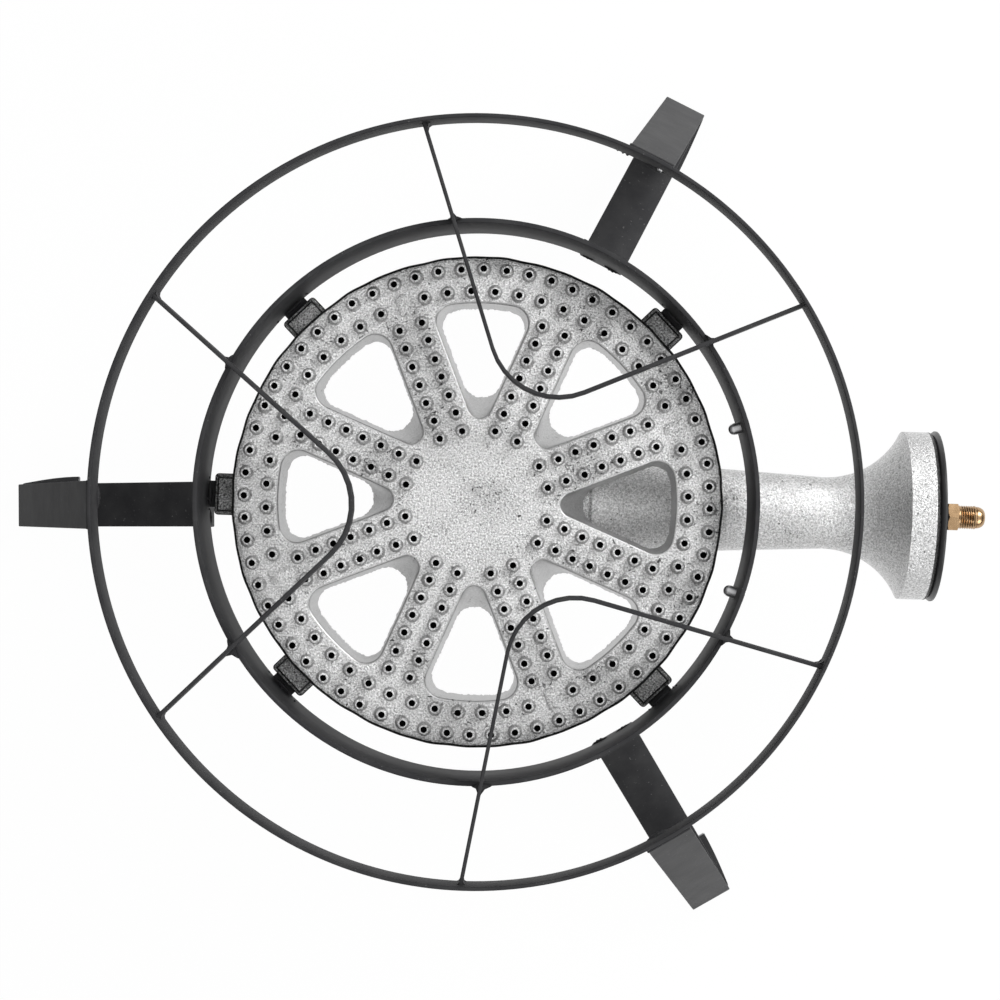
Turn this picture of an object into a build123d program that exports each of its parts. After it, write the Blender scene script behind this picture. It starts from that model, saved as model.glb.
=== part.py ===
from build123d import *
from math import atan2, cos, degrees, hypot, radians, sin, sqrt
import os

# Round high-pressure gas burner on a three-legged stand, in millimetres.
# +Z is up, the origin is on the floor below the middle of the outer ring, and +X runs along the
# mixer tube towards the gas inlet. The stand is welded from flat steel strip. The cast-iron burner
# lies loose on five seats inside the stand's band, and its mixer tube leaves under the band.

# Stand: rings and bars, all of flat strip set on edge
stand_height = 230.0      # floor to the outer ring's top edge
ring_od = 390.0           # outer ring, outside
ring_strip = 2.0          # outer ring, strip thickness
ring_width = 20.0         # outer ring, strip width
band_od = 290.0           # band round the burner, outside
band_strip = 2.5
band_width = 50.0
bar_drop = 6.0            # pot bars lie this far below the ring's top edge
bar_strip = 2.0
bar_width = 15.0
bar_apex = 62.6           # tip of each V-shaped bar to the centre
bar_splay = 42.6          # each arm of the V to the V's middle line, degrees
bar_bend = 35.0           # bend at the tip of the V, to the strip's middle
bar_angles = (66.1, 182.5, 303.0)  # middle lines of the Vs as welded by hand, degrees from the tube

# Stand: legs and braces, flat strip bent the easy way
leg_width = 25.0
leg_strip = 3.0
leg_lap = 6.0             # leg's top overlaps the ring by this
leg_angles = (64.8, 182.2, 301.6)  # as welded by hand, degrees from the tube
leg_reaches = (265.0, 279.0, 273.0)  # corner of each foot to the centre
leg_top_bend = 20.0
foot_length = 37.0        # flat foot, turned in under the leg
foot_bend = 6.0
brace_lap = 21.0          # brace overlaps the band by this
brace_bend_height = 107.5  # bend of the brace above the floor
brace_bend = 15.0
brace_foot_height = 24.0  # where the brace meets the leg

# Seats and bolts on the band
seat_width = 14.0
seat_strip = 3.0
seat_reach = 11.0         # tab's length inwards from the band
bolt_d = 6.0
bolt_hole_play = 0.1      # radial
bolt_head_flats = 10.0
bolt_head_height = 2.0    # low heads, hidden from above by the band's top edge
bolt_tip = 6.5            # bolt's end inside the band
bolt_angle = 17.6         # bolts stand this far either side of the tube, degrees

# Burner head, a casting like a spoked wheel
head_d = 256.0
head_depth = 34.0
head_edge = 1.5           # bevel round the top face
head_draft = 2.0          # rim leans in by this towards the bottom
head_under_round = 6.0
spoke_count = 8
spoke_width = 26.0        # at the top face
spoke_draft = 3.0         # windows narrow by this on each side towards the bottom
window_inner_r = 44.0     # at the top face
window_outer_r = 103.4
window_outer_draft = 2.0
window_corner = 9.0
hub_flare = 12.0          # hub widens by this towards the bottom
hub_floor_r = 28.0        # flat floor below the hub
casting_wall = 5.0        # round the gas space inside the head

# Lugs on the head's rim, which lie on the seats
lug_angles = (45.0, 135.0, 180.0, 225.0, 315.0)
lug_width = 22.0
lug_thickness = 8.0
lug_drop = 23.0           # top face down to the lugs' undersides
lug_reach = 11.2          # lugs' ends outside the rim
lug_corner = 2.0

# Flame ports, small raised cones with a crater
port_base_d = 9.0
port_rim_d = 4.0
port_height = 4.0
port_sink = 0.4
port_sides = 8
outer_row_r = 121.0
outer_row_count = 64
inner_row_r = 109.5
inner_row_count = 56
spoke_row_offset = 6.2
spoke_row_start = 37.3
spoke_row_pitch = 10.0
spoke_row_count = 7
blank_count = 4           # places of the inner row with a flat pad in place of a port
blank_length = 11.0
blank_width = 5.5
blank_height = 1.2

# Mixer tube: spigot, long taper, throat and flared bell
tube_drop = 60.0          # top face of the head down to the tube's axis
spigot_end = 38.0
spigot_length = 22.0
spigot_d = 37.8
spigot_play = 0.1         # radial
tube_big_d = 52.0
throat_d = 38.8
throat_x = 187.0
tube_wall = 4.0
flare_radius = 46.0
bell_d = 91.0
rim_length = 15.0
web_thickness = 6.0
boss_d = 22.0
boss_length = 14.0

# Air windows, alike in the bell's web and in the shutter
air_window_count = 3
air_window_angle = 60.0   # degrees
air_window_inner_r = 15.0
air_window_outer_r = 36.0
air_window_corner = 2.5

# Air shutter, a pressed disc that turns on the gas fitting's shank
shutter_lap = 0.7         # shutter's edge outside the bell's rim
shutter_sheet = 1.5
shutter_rim = 5.2
shutter_gap = 0.3         # at either face
shutter_play = 0.08       # radial, on the shank

# Gas fitting with its washer, lock nut and jet
shank_d = 9.6
shank_play = 0.05         # radial, in the boss, lock nut and jet
washer_d = 18.0
washer_thickness = 1.5
washer_play = 0.2         # radial
nut_flats = 15.0
nut_height = 7.0
fitting_flats = 14.3
fitting_hex_length = 6.0
flare_thread_d = 12.7     # half-inch thread of a 5/16 inch 45-degree flare
flare_thread_length = 10.0
flare_neck_d = 10.8
flare_neck_length = 1.5
gas_bore_d = 4.8
jet_flats = 13.0
jet_hex_length = 8.0
jet_nose_length = 4.0
jet_nose_d = 5.0
jet_grip = 5.0            # shank's length inside the jet
jet_hole_d = 1.5

# Levels and radii that follow from the sizes above
ring_r = ring_od / 2
ring_inner_r = ring_r - ring_strip
ring_bottom = stand_height - ring_width
bar_bottom = stand_height - bar_drop - bar_width
band_r = band_od / 2
band_inner_r = band_r - band_strip
band_bottom = bar_bottom - band_width
seat_top = band_bottom + seat_strip
head_r = head_d / 2
head_top = seat_top + lug_drop
head_bottom = head_top - head_depth
hub_bottom_r = window_inner_r + hub_flare
tube_z = head_top - tube_drop
shoulder_x = spigot_end + spigot_length
flare_rise = throat_d / 2 + flare_radius
flare_end_x = throat_x + sqrt(flare_radius**2 - (flare_rise - bell_d / 2) ** 2)
rim_end_x = flare_end_x + rim_length
boss_inner_x = rim_end_x - boss_length
shutter_d = bell_d + 2 * shutter_lap
shutter_x = rim_end_x + shutter_gap
washer_x = shutter_x + shutter_sheet + shutter_gap
nut_x = washer_x + washer_thickness
fitting_x = nut_x + nut_height


def polar(radius, angle):
    """Point of the plan at a radius and an angle in degrees."""
    return (radius * cos(radians(angle)), radius * sin(radians(angle)))


def hoop(outer_r, wall, height, bottom):
    """Strip rolled on edge into a ring."""
    low = (Align.CENTER, Align.CENTER, Align.MIN)
    shell = Cylinder(outer_r, height, align=low) - Cylinder(outer_r - wall, height, align=low)
    return Pos(0, 0, bottom) * shell


def bent_strip(path, across, width, thickness):
    """Strip of one section carried along its bent middle line; across is the direction of its width."""
    start = Plane(origin=path @ 0, x_dir=across, z_dir=path % 0)
    return sweep(start * Rectangle(width, thickness), path)


def along_x(sketch, start, length):
    """Sketch of the plane across the tube, extruded along +X from start."""
    return extrude(Plane.YZ.offset(start) * sketch, amount=length)


def hexagon(flats):
    """Six-sided outline by its width across flats."""
    return RegularPolygon(flats / 2, 6, major_radius=False)


def turned(outline, axis):
    """Closed outline revolved about an axis."""
    return revolve(make_face(outline), axis)


def outer_ring():
    """Outer ring that keeps the pot in place."""
    return hoop(ring_r, ring_strip, ring_width, ring_bottom)


def bolt_axis(side):
    """Frame at the band's outer face with its Z axis pointing to the stand's centre."""
    angle = side * bolt_angle
    x, y = polar(band_r, angle)
    inward = (-cos(radians(angle)), -sin(radians(angle)), 0)
    return Plane(origin=(x, y, band_bottom + band_width / 2), x_dir=(0, 0, 1), z_dir=inward)


def burner_band():
    """Band that carries the burner's seats, with a hole for each bolt."""
    band = hoop(band_r, band_strip, band_width, band_bottom)
    hole = Cylinder(bolt_d / 2 + bolt_hole_play, 4 * band_strip)
    return band - [bolt_axis(side) * hole for side in (1, -1)]


def band_bolt(side):
    """Hex-head bolt through the band, its head against the outer face."""
    shank = extrude(Circle(bolt_d / 2), amount=band_strip + bolt_tip)
    tip_edge = shank.edges().sort_by(Axis.Z)[-1]
    head = extrude(hexagon(bolt_head_flats), amount=-bolt_head_height)
    return bolt_axis(side) * (chamfer(tip_edge, bolt_d / 8) + head)


def pot_bar(angle):
    """V-shaped bar: its tip points to the centre, its ends are cut to the ring's inner face."""
    splay = radians(bar_splay)
    corner = bar_apex - bar_bend * (1 / sin(splay) - 1)
    end = (corner + ring_od * cos(splay), ring_od * sin(splay))
    mirrored_end = (end[0], -end[1])
    bend_line = FilletPolyline(end, (corner, 0), mirrored_end, radius=bar_bend)
    path = Pos(0, 0, bar_bottom + bar_width / 2) * bend_line
    strip = bent_strip(path, (0, 0, 1), bar_width, bar_strip)
    inside = Pos(0, 0, bar_bottom + bar_width / 2) * Cylinder(ring_inner_r, 2 * bar_width)
    return Rot(0, 0, angle) * (strip & inside)


def leg_corners(reach):
    """Middle line of a leg as radius and height: lap on the ring, bend, foot corner, foot end."""
    lap_r = ring_r + leg_strip / 2
    floor = leg_strip / 2
    top = (lap_r, ring_bottom + leg_lap)
    bend = (lap_r, ring_bottom - leg_lap)
    foot = (reach, floor)
    return [top, bend, foot, (reach - foot_length, floor)]


def leg_blank(reach):
    """Leg before it is turned to its station: it stands in the plane of X and Z."""
    path = Plane.XZ * FilletPolyline(*leg_corners(reach), radius=[leg_top_bend, foot_bend])
    return bent_strip(path, (0, 1, 0), leg_width, leg_strip)


def leg(angle, reach):
    """Splayed leg with a flat foot turned in along the floor."""
    return Rot(0, 0, angle) * leg_blank(reach)


def leg_brace(angle, reach):
    """Brace from the band down to the leg, its lower end cut to the leg's slope."""
    _, bend, foot, _ = leg_corners(reach)
    down = (bend[1] - brace_foot_height) / (bend[1] - foot[1])
    meets_leg = (bend[0] + down * (foot[0] - bend[0]), brace_foot_height)
    lap_r = band_r + leg_strip / 2
    corners = [(lap_r, band_bottom + brace_lap), (lap_r, brace_bend_height), meets_leg]
    path = Plane.XZ * FilletPolyline(*corners, radius=brace_bend)
    return Rot(0, 0, angle) * (bent_strip(path, (0, 1, 0), leg_width, leg_strip) - leg_blank(reach))


def burner_seat(angle):
    """Tab on the band's lower edge, below one of the burner's lugs."""
    tab = Pos(band_inner_r, 0, band_bottom + seat_strip / 2) * Box(2 * seat_reach, seat_width, seat_strip)
    return Rot(0, 0, angle) * (tab & Cylinder(band_inner_r, 2 * stand_height))


def window_outline(half_spoke, inner_r, outer_r):
    """Window between two spokes, on the X axis: sides along the spokes, round inner end, outer arc."""
    half = radians(180 / spoke_count)
    nose_x = (inner_r - half_spoke) / (1 - sin(half))
    nose_r = nose_x - inner_r
    start = (nose_x - nose_r * sin(half), nose_r * cos(half))
    reach = sqrt(outer_r**2 - half_spoke**2)
    end = (reach * cos(half) + half_spoke * sin(half), reach * sin(half) - half_spoke * cos(half))
    other_start = (start[0], -start[1])
    other_end = (end[0], -end[1])
    outline = Line(start, end) + ThreePointArc(end, (outer_r, 0), other_end)
    outline += Line(other_end, other_start) + ThreePointArc(other_start, (inner_r, 0), start)
    face = make_face(outline)
    return fillet(face.vertices().sort_by(Axis.X)[-2:], window_corner)


def head_windows():
    """Windows between the spokes, narrower at the bottom as the mould's draft leaves them."""
    top = window_outline(spoke_width / 2, window_inner_r, window_outer_r)
    bottom = window_outline(
        spoke_width / 2 + spoke_draft, hub_bottom_r, window_outer_r - window_outer_draft
    )
    window = loft([Pos(0, 0, head_bottom) * bottom, Pos(0, 0, head_top) * top], ruled=True)
    return [Rot(0, 0, 360 / spoke_count * i) * window for i in range(spoke_count)]


def head_wheel():
    """Plain wheel of the head: bevelled top edge, drafted rim and rounded lower edge."""
    low_r = head_r - head_draft
    outline = Polyline(
        (0, head_bottom),
        (0, head_top),
        (head_r - head_edge, head_top),
        (head_r, head_top - head_edge),
        (low_r, head_bottom + head_under_round),
    )
    low_end = (low_r - head_under_round, head_bottom)
    outline += TangentArc((low_r, head_bottom + head_under_round), low_end, tangent=(0, -1))
    outline += Line(low_end, (0, head_bottom))
    return turned(Plane.XZ * outline, Axis.Z)


def hub_bowl():
    """Bowl below the hub, which feeds the spokes."""
    floor = tube_z - tube_big_d / 2
    outline = Polyline((hub_floor_r, floor), (0, floor), (0, head_bottom), (hub_bottom_r, head_bottom))
    outline += TangentArc((hub_bottom_r, head_bottom), (hub_floor_r, floor), tangent=(0, -1))
    return turned(Plane.XZ * outline, Axis.Z)


def head_core():
    """Gas space inside the head, as its sand core leaves it: rim channel, spoke channels, hub chamber."""
    roof = head_top - casting_wall
    floor = head_bottom + casting_wall
    channel_outer_r = head_r - head_draft - casting_wall
    channel_inner_r = window_outer_r + casting_wall
    rim_channel = hoop(channel_outer_r, channel_outer_r - channel_inner_r, roof - floor, floor)
    spoke_channel = Pos(channel_inner_r / 2, 0, (roof + floor) / 2) * Box(
        channel_inner_r + casting_wall, spoke_width - 2 * casting_wall, roof - floor
    )
    bowl_floor = tube_z - tube_big_d / 2 + casting_wall
    wall_r = hub_bottom_r - casting_wall
    outline = Polyline(
        (hub_floor_r, bowl_floor),
        (0, bowl_floor),
        (0, roof),
        (window_inner_r - casting_wall, roof),
        (wall_r, head_bottom),
    )
    outline += TangentArc((wall_r, head_bottom), (hub_floor_r, bowl_floor), tangent=(0, -1))
    chamber = turned(Plane.XZ * outline, Axis.Z)
    turns = [180 / spoke_count + 360 / spoke_count * i for i in range(spoke_count)]
    return chamber + [rim_channel] + [Rot(0, 0, turn) * spoke_channel for turn in turns]


def lug():
    """Lug on the rim, on the X axis."""
    inner_x = head_r - head_draft - lug_corner
    outer_x = head_r + lug_reach
    plan = Pos((inner_x + outer_x) / 2, 0) * Rectangle(outer_x - inner_x, lug_width)
    plan = fillet(plan.vertices().sort_by(Axis.X)[-2:], lug_corner)
    return extrude(Pos(0, 0, seat_top) * plan, amount=lug_thickness)


def port_places():
    """Plan points of the ports: two rows round the rim, the inner one without its blanks."""
    places = [polar(outer_row_r, 360 / outer_row_count * i) for i in range(outer_row_count)]
    blank_step = inner_row_count // blank_count
    first = 180 / spoke_count
    for i in range(inner_row_count):
        if i % blank_step:
            places.append(polar(inner_row_r, first + 360 / inner_row_count * i))
    for spoke in range(spoke_count):
        for step in range(spoke_row_count):
            along = spoke_row_start + spoke_row_pitch * step
            for side in (-spoke_row_offset, spoke_row_offset):
                turn = degrees(atan2(side, along))
                places.append(polar(hypot(along, side), first + 360 / spoke_count * spoke + turn))
    return places


def flame_ports():
    """Raised ports, each an eight-sided cone with a crater down to the top face."""
    base = RegularPolygon(port_base_d / 2, port_sides)
    rim = Pos(0, 0, port_height) * RegularPolygon(port_rim_d / 2, port_sides)
    cone = loft([Pos(0, 0, -port_sink) * base, rim], ruled=True)
    crater = loft([rim, Vertex(0, 0, 0)], ruled=True)
    port = cone - crater
    return [Pos(x, y, head_top) * port for x, y in port_places()]


def blank_pads():
    """Flat pads at the inner row's blank places, along the radius."""
    pad = Box(blank_length, blank_width, 2 * blank_height)
    turns = [180 / spoke_count + 360 / blank_count * i for i in range(blank_count)]
    return [Rot(0, 0, turn) * Pos(inner_row_r, 0, head_top) * pad for turn in turns]


def burner_head():
    """Cast head: spoked wheel with ports, lugs, and a bowl with a socket for the mixer tube."""
    head = head_wheel() - head_windows()
    socket_boss = along_x(Pos(0, tube_z) * Circle(tube_big_d / 2), 0, shoulder_x)
    head = head + [hub_bowl(), socket_boss] + [Rot(0, 0, angle) * lug() for angle in lug_angles]
    socket = along_x(Pos(0, tube_z) * Circle(spigot_d / 2 + spigot_play), spigot_end, spigot_length)
    return (head - head_core() - socket) + flame_ports() + blank_pads()


def air_windows(start, length):
    """Cutters for the air windows, along the tube's axis at height zero."""
    half = air_window_angle / 2
    outer = polar(air_window_outer_r, half)
    inner = polar(air_window_inner_r, half)
    outline = ThreePointArc((outer[0], -outer[1]), (air_window_outer_r, 0), outer)
    outline += Line(outer, inner)
    outline += ThreePointArc(inner, (air_window_inner_r, 0), (inner[0], -inner[1]))
    outline += Line((inner[0], -inner[1]), (outer[0], -outer[1]))
    face = make_face(outline)
    window = fillet(face.vertices(), air_window_corner)
    turns = [90 + 360 / air_window_count * i for i in range(air_window_count)]
    return [along_x(Rot(0, 0, turn) * window, start, length) for turn in turns]


def tube_shell():
    """Tube turned about its axis: spigot, shoulder, taper to the throat, flare and rim."""
    bore_r = throat_d / 2 - tube_wall
    rim_inner_r = bell_d / 2 - tube_wall
    inner_radius = flare_radius + tube_wall
    inner_end_x = throat_x + sqrt(inner_radius**2 - (flare_rise - rim_inner_r) ** 2)
    outline = Polyline(
        (throat_x, bore_r),
        (spigot_end, bore_r),
        (spigot_end, spigot_d / 2),
        (shoulder_x, spigot_d / 2),
        (shoulder_x, tube_big_d / 2),
        (throat_x, throat_d / 2),
    )
    outline += TangentArc((throat_x, throat_d / 2), (flare_end_x, bell_d / 2), tangent=(1, 0))
    outline += Polyline(
        (flare_end_x, bell_d / 2),
        (rim_end_x, bell_d / 2),
        (rim_end_x, rim_inner_r),
        (inner_end_x, rim_inner_r),
    )
    outline += TangentArc((throat_x, bore_r), (inner_end_x, rim_inner_r), tangent=(1, 0))
    return turned(outline, Axis.X)


def mixer_tube():
    """Cast mixer tube whose bell is closed by a web with air windows and a boss for the fitting."""
    web = along_x(Circle(bell_d / 2 - tube_wall / 2), rim_end_x - web_thickness, web_thickness)
    boss = along_x(Circle(boss_d / 2), boss_inner_x, boss_length)
    hole = along_x(Circle(shank_d / 2 + shank_play), boss_inner_x, boss_length)
    tube = (tube_shell() + web + boss) - hole
    return Pos(0, 0, tube_z) * (tube - air_windows(rim_end_x - web_thickness, web_thickness))


def air_shutter():
    """Pressed disc with a rim turned outwards and the same windows as the web."""
    disc = along_x(Circle(shutter_d / 2), shutter_x, shutter_rim)
    dish = along_x(Circle(shutter_d / 2 - shutter_sheet), shutter_x + shutter_sheet, shutter_rim)
    hole = along_x(Circle(shank_d / 2 + shutter_play), shutter_x, shutter_sheet)
    return Pos(0, 0, tube_z) * ((disc - dish - hole) - air_windows(shutter_x, shutter_sheet))


def shutter_washer():
    """Washer between the shutter and the lock nut."""
    plan = Circle(washer_d / 2) - Circle(shank_d / 2 + washer_play)
    return Pos(0, 0, tube_z) * along_x(plan, washer_x, washer_thickness)


def lock_nut():
    """Nut that holds the shutter where it is set."""
    plan = hexagon(nut_flats) - Circle(shank_d / 2 + shank_play)
    return Pos(0, 0, tube_z) * along_x(plan, nut_x, nut_height)


def gas_fitting():
    """Flare fitting: shank through the bell's boss, hexagon, hose thread and 45-degree seat."""
    shank_end_x = boss_inner_x - jet_grip
    thread_x = fitting_x + fitting_hex_length
    neck_x = thread_x + flare_thread_length
    seat_x = neck_x + flare_neck_length
    nose_x = seat_x + (flare_neck_d - gas_bore_d) / 2
    outline = Polyline(
        (shank_end_x, gas_bore_d / 2),
        (shank_end_x, shank_d / 2),
        (thread_x, shank_d / 2),
        (thread_x, flare_thread_d / 2),
        (neck_x, flare_thread_d / 2),
        (neck_x, flare_neck_d / 2),
        (seat_x, flare_neck_d / 2),
        (nose_x, gas_bore_d / 2),
        (shank_end_x, gas_bore_d / 2),
    )
    plan = hexagon(fitting_flats) - Circle(shank_d / 2 - shank_play)
    body = turned(outline, Axis.X) + along_x(plan, fitting_x, fitting_hex_length)
    return Pos(0, 0, tube_z) * body


def gas_jet():
    """Jet on the shank's inner end: hexagon, tapered nose and a fine hole."""
    grip_x = boss_inner_x - jet_grip - shank_play
    hex_x = boss_inner_x - jet_hex_length
    nose_x = hex_x - jet_nose_length
    nose = Polyline((nose_x, 0), (nose_x, jet_nose_d / 2), (hex_x, jet_flats / 2), (hex_x, 0), (nose_x, 0))
    body = turned(nose, Axis.X) + along_x(hexagon(jet_flats), hex_x, jet_hex_length)
    socket = along_x(Circle(shank_d / 2 + shank_play), grip_x, jet_hex_length)
    hole = along_x(Circle(jet_hole_d / 2), nose_x, jet_hex_length)
    return Pos(0, 0, tube_z) * (body - socket - hole)


def save(name, solid):
    """Write one sub-part."""
    solid.label = name
    export_step(solid, f"parts/{name}.step")


os.makedirs("parts", exist_ok=True)
save("outer_ring", outer_ring())
save("burner_band", burner_band())
for number, angle in enumerate(bar_angles, 1):
    save(f"pot_bar_{number}", pot_bar(angle))
for number, (angle, reach) in enumerate(zip(leg_angles, leg_reaches), 1):
    save(f"leg_{number}", leg(angle, reach))
    save(f"leg_brace_{number}", leg_brace(angle, reach))
for number, angle in enumerate(lug_angles, 1):
    save(f"burner_seat_{number}", burner_seat(angle))
for number, side in enumerate((1, -1), 1):
    save(f"band_bolt_{number}", band_bolt(side))
save("burner_head", burner_head())
save("mixer_tube", mixer_tube())
save("air_shutter", air_shutter())
save("shutter_washer", shutter_washer())
save("lock_nut", lock_nut())
save("gas_fitting", gas_fitting())
save("gas_jet", gas_jet())
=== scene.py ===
# %% [markdown]
# # Round gas burner on a three-legged stand
# A cast-iron burner, painted silver, lies loose in a stand of black flat steel. Gas enters at the
# brass fitting, draws air in through the shutter and burns at 228 small raised ports. The packed
# model gives the main sizes and places, and this lesson dresses it with finer meshes and finishes.

# %% Load the model
import bmesh
import bpy
import numpy as np
from mathutils import Matrix, Vector


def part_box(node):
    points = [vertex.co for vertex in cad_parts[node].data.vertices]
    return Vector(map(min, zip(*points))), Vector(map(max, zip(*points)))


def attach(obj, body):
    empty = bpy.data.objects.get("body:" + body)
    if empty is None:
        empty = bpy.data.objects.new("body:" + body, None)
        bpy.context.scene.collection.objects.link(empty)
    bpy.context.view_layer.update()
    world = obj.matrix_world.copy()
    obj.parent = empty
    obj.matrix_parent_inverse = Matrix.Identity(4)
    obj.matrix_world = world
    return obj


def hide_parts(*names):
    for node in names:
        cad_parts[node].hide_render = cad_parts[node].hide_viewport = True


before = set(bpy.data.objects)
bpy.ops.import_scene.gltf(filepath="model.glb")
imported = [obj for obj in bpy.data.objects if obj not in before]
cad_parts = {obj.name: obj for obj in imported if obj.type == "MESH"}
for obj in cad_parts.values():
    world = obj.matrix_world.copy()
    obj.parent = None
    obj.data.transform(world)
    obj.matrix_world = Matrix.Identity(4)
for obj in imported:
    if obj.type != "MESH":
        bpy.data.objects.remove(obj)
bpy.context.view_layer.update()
MM = 0.001


def span(node):
    """Lowest and highest corner of a node of the model, in millimetres."""
    low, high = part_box(node)
    return np.array(low) / MM, np.array(high) / MM


# %% [markdown]
# ## From points to pieces
# Each shape below is a grid of points: rows along it, columns round it. Neighbouring points make
# four-sided faces. Where a grid closes on itself, or runs to a pole, points coincide and are merged,
# so that no seam is left, and then all faces are turned to look outwards. Pieces could be pulled into
# shape by hand in edit mode, but with formulas each size stays a named value that can be changed.

# %% Grids and pieces
MERGE = 0.002 * MM


def grid(points, close_rows=False, close_columns=False, finish=0):
    """Points in rows and columns, joined to four-sided faces; a closed side joins its end to its start."""
    rows, columns = points.shape[:2]
    number = np.arange(rows * columns).reshape(rows, columns)
    if close_rows:
        number = np.vstack([number, number[:1]])
    if close_columns:
        number = np.hstack([number, number[:, :1]])
    faces = np.stack([number[:-1, :-1], number[1:, :-1], number[1:, 1:], number[:-1, 1:]], axis=-1)
    faces = faces.reshape(-1, 4)
    return points.reshape(-1, 3), faces, np.full(len(faces), finish)


def make_mesh(name, grids, finishes, crease):
    """One mesh from grids in millimetres, merged, facing outwards, smooth below the crease angle."""
    starts = np.cumsum([0] + [len(points) for points, _, _ in grids])
    points = np.concatenate([points for points, _, _ in grids]) * MM
    faces = np.concatenate([faces + start for (_, faces, _), start in zip(grids, starts)])
    mesh = bpy.data.meshes.new(name)
    mesh.from_pydata(points, [], faces)
    mesh.polygons.foreach_set("material_index", np.concatenate([finish for _, _, finish in grids]))
    for finish in finishes:
        mesh.materials.append(finish)
    shape = bmesh.new()
    shape.from_mesh(mesh)
    bmesh.ops.remove_doubles(shape, verts=shape.verts, dist=MERGE)
    bmesh.ops.recalc_face_normals(shape, faces=shape.faces)
    shape.to_mesh(mesh)
    shape.free()
    mesh.shade_smooth()
    mesh.set_sharp_from_angle(angle=np.radians(crease))
    return mesh


def make_piece(name, grids, finishes, nodes=(), body="burner_stand", crease=40):
    """A mesh piece that rides on a body and stands for the given nodes of the model."""
    piece = bpy.data.objects.new(name, make_mesh(name, grids, finishes, crease))
    bpy.context.scene.collection.objects.link(piece)
    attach(piece, body)
    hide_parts(*nodes)
    print(name, len(piece.data.polygons), "faces")


# %% [markdown]
# ## Finishes
# A finish is a small network of nodes. It could be a painted picture instead, but nodes stay sharp in
# a close view and need no unwrapping. One helper adds a node, sets what it is told and links the rest.
# Patterns read Object coordinates, which are metres here, so a scale is one over a real size. A Mix
# node for colours takes its share at socket 0 and its two colours at sockets 6 and 7.

# %% Helpers for finishes
def linear(code):
    """Colour of an sRGB hex code as the linear values that the shader wants."""
    part = np.array([int(code[i : i + 2], 16) for i in (1, 3, 5)]) / 255
    return (*np.where(part <= 0.04045, part / 12.92, ((part + 0.055) / 1.055) ** 2.4), 1.0)


def per_metre(size):
    """Scale of a pattern whose features are this many millimetres wide."""
    return 1 / (size * MM)


def connect(tree, node, sockets):
    """Give each named socket of a node its value, or a link from another node's output."""
    for name, value in sockets.items():
        if isinstance(value, bpy.types.NodeSocket):
            tree.links.new(value, node.inputs[name])
        else:
            node.inputs[name].default_value = value
    return node


def add(tree, kind, sockets, **settings):
    """Add a node, with its settings and what its sockets get."""
    node = tree.nodes.new("ShaderNode" + kind)
    for name, value in settings.items():
        setattr(node, name, value)
    return connect(tree, node, sockets)


def new_finish(name):
    """Empty material with the principled shader, and the output of its object coordinates."""
    finish = bpy.data.materials.new(name)
    finish.use_nodes = True
    tree = finish.node_tree
    place = add(tree, "TexCoord", {}).outputs["Object"]
    return finish, tree, tree.nodes["Principled BSDF"], place


print("black is", linear("#000000"), "white is", linear("#ffffff"))

# %% [markdown]
# ### Satin black paint
# The strips were dipped in black stove paint. It dries with a faint orange peel of about 3 mm, dusty
# smears and a few pimples over grit, and its satin gloss turns grey where the eye meets it at a low
# angle. One plain dark colour would look like plastic, so four noises, each at the real size of its
# flaw, break it up.

# %% Black paint
PEEL = 3.0
GRIT = 1.4
SMEAR = 12.0
THICKNESS_CLOUD = 40.0


def satin_black_paint():
    """Black stove paint on flat steel: orange peel, cloudy gloss, dusty smears and pimples over grit."""
    finish, tree, shader, place = new_finish("satin_black_paint")
    flaws = ((THICKNESS_CLOUD, 3.0), (SMEAR, 5.0), (GRIT, 1.0), (PEEL, 2.0))
    noises = [{"Vector": place, "Scale": per_metre(size), "Detail": detail} for size, detail in flaws]
    cloud, smear, grit, peel = [add(tree, "TexNoise", noise).outputs["Fac"] for noise in noises]
    pimple = add(tree, "MapRange", {"Value": grit, "From Min": 0.71, "From Max": 0.79})
    haze = add(tree, "MapRange", {"Value": smear, "From Min": 0.35, "From Max": 0.75})
    tones = {0: haze.outputs[0], 6: linear("#28282a"), 7: linear("#353536")}
    tone = add(tree, "Mix", tones, data_type="RGBA")
    tones = {0: pimple.outputs[0], 6: tone.outputs[2], 7: linear("#585858")}
    dusty = add(tree, "Mix", tones, data_type="RGBA")
    gloss = add(tree, "MapRange", {"Value": cloud, "To Min": 0.52, "To Max": 0.68})
    relief = add(tree, "Math", {0: peel, 1: pimple.outputs[0]}, operation="ADD")
    bump = add(tree, "Bump", {"Height": relief.outputs[0], "Strength": 0.35, "Distance": 0.25 * MM})
    connect(tree, shader, {"Base Color": dusty.outputs[2], "Specular IOR Level": 0.25})
    connect(tree, shader, {"Roughness": gloss.outputs[0], "Normal": bump.outputs["Normal"]})
    return finish


black_paint = satin_black_paint()
print(black_paint.name)

# %% [markdown]
# ### Silver paint on sand-cast iron
# Sand leaves iron with a coarse grain of about a millimetre and scattered pits. Aluminium paint over
# it glitters: each grain mirrors another part of the room, so light and dark sit side by side. To
# model the grain would take millions of faces, so it is a bump with a light and a dark tone. The tube
# and the drafted walls left the mould smoother than the top, and the lugs rougher. The walls' tones
# are a little darker as painted shade, and the skirts of the ports, the rim, the lugs' sides and the
# tube's mouth are darker still, also painted shade. So depth and tones are choices.

# %% Silver casting
GRAIN = 1.0
PIT = 1.8
PIT_CLUSTER = 22.0


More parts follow.
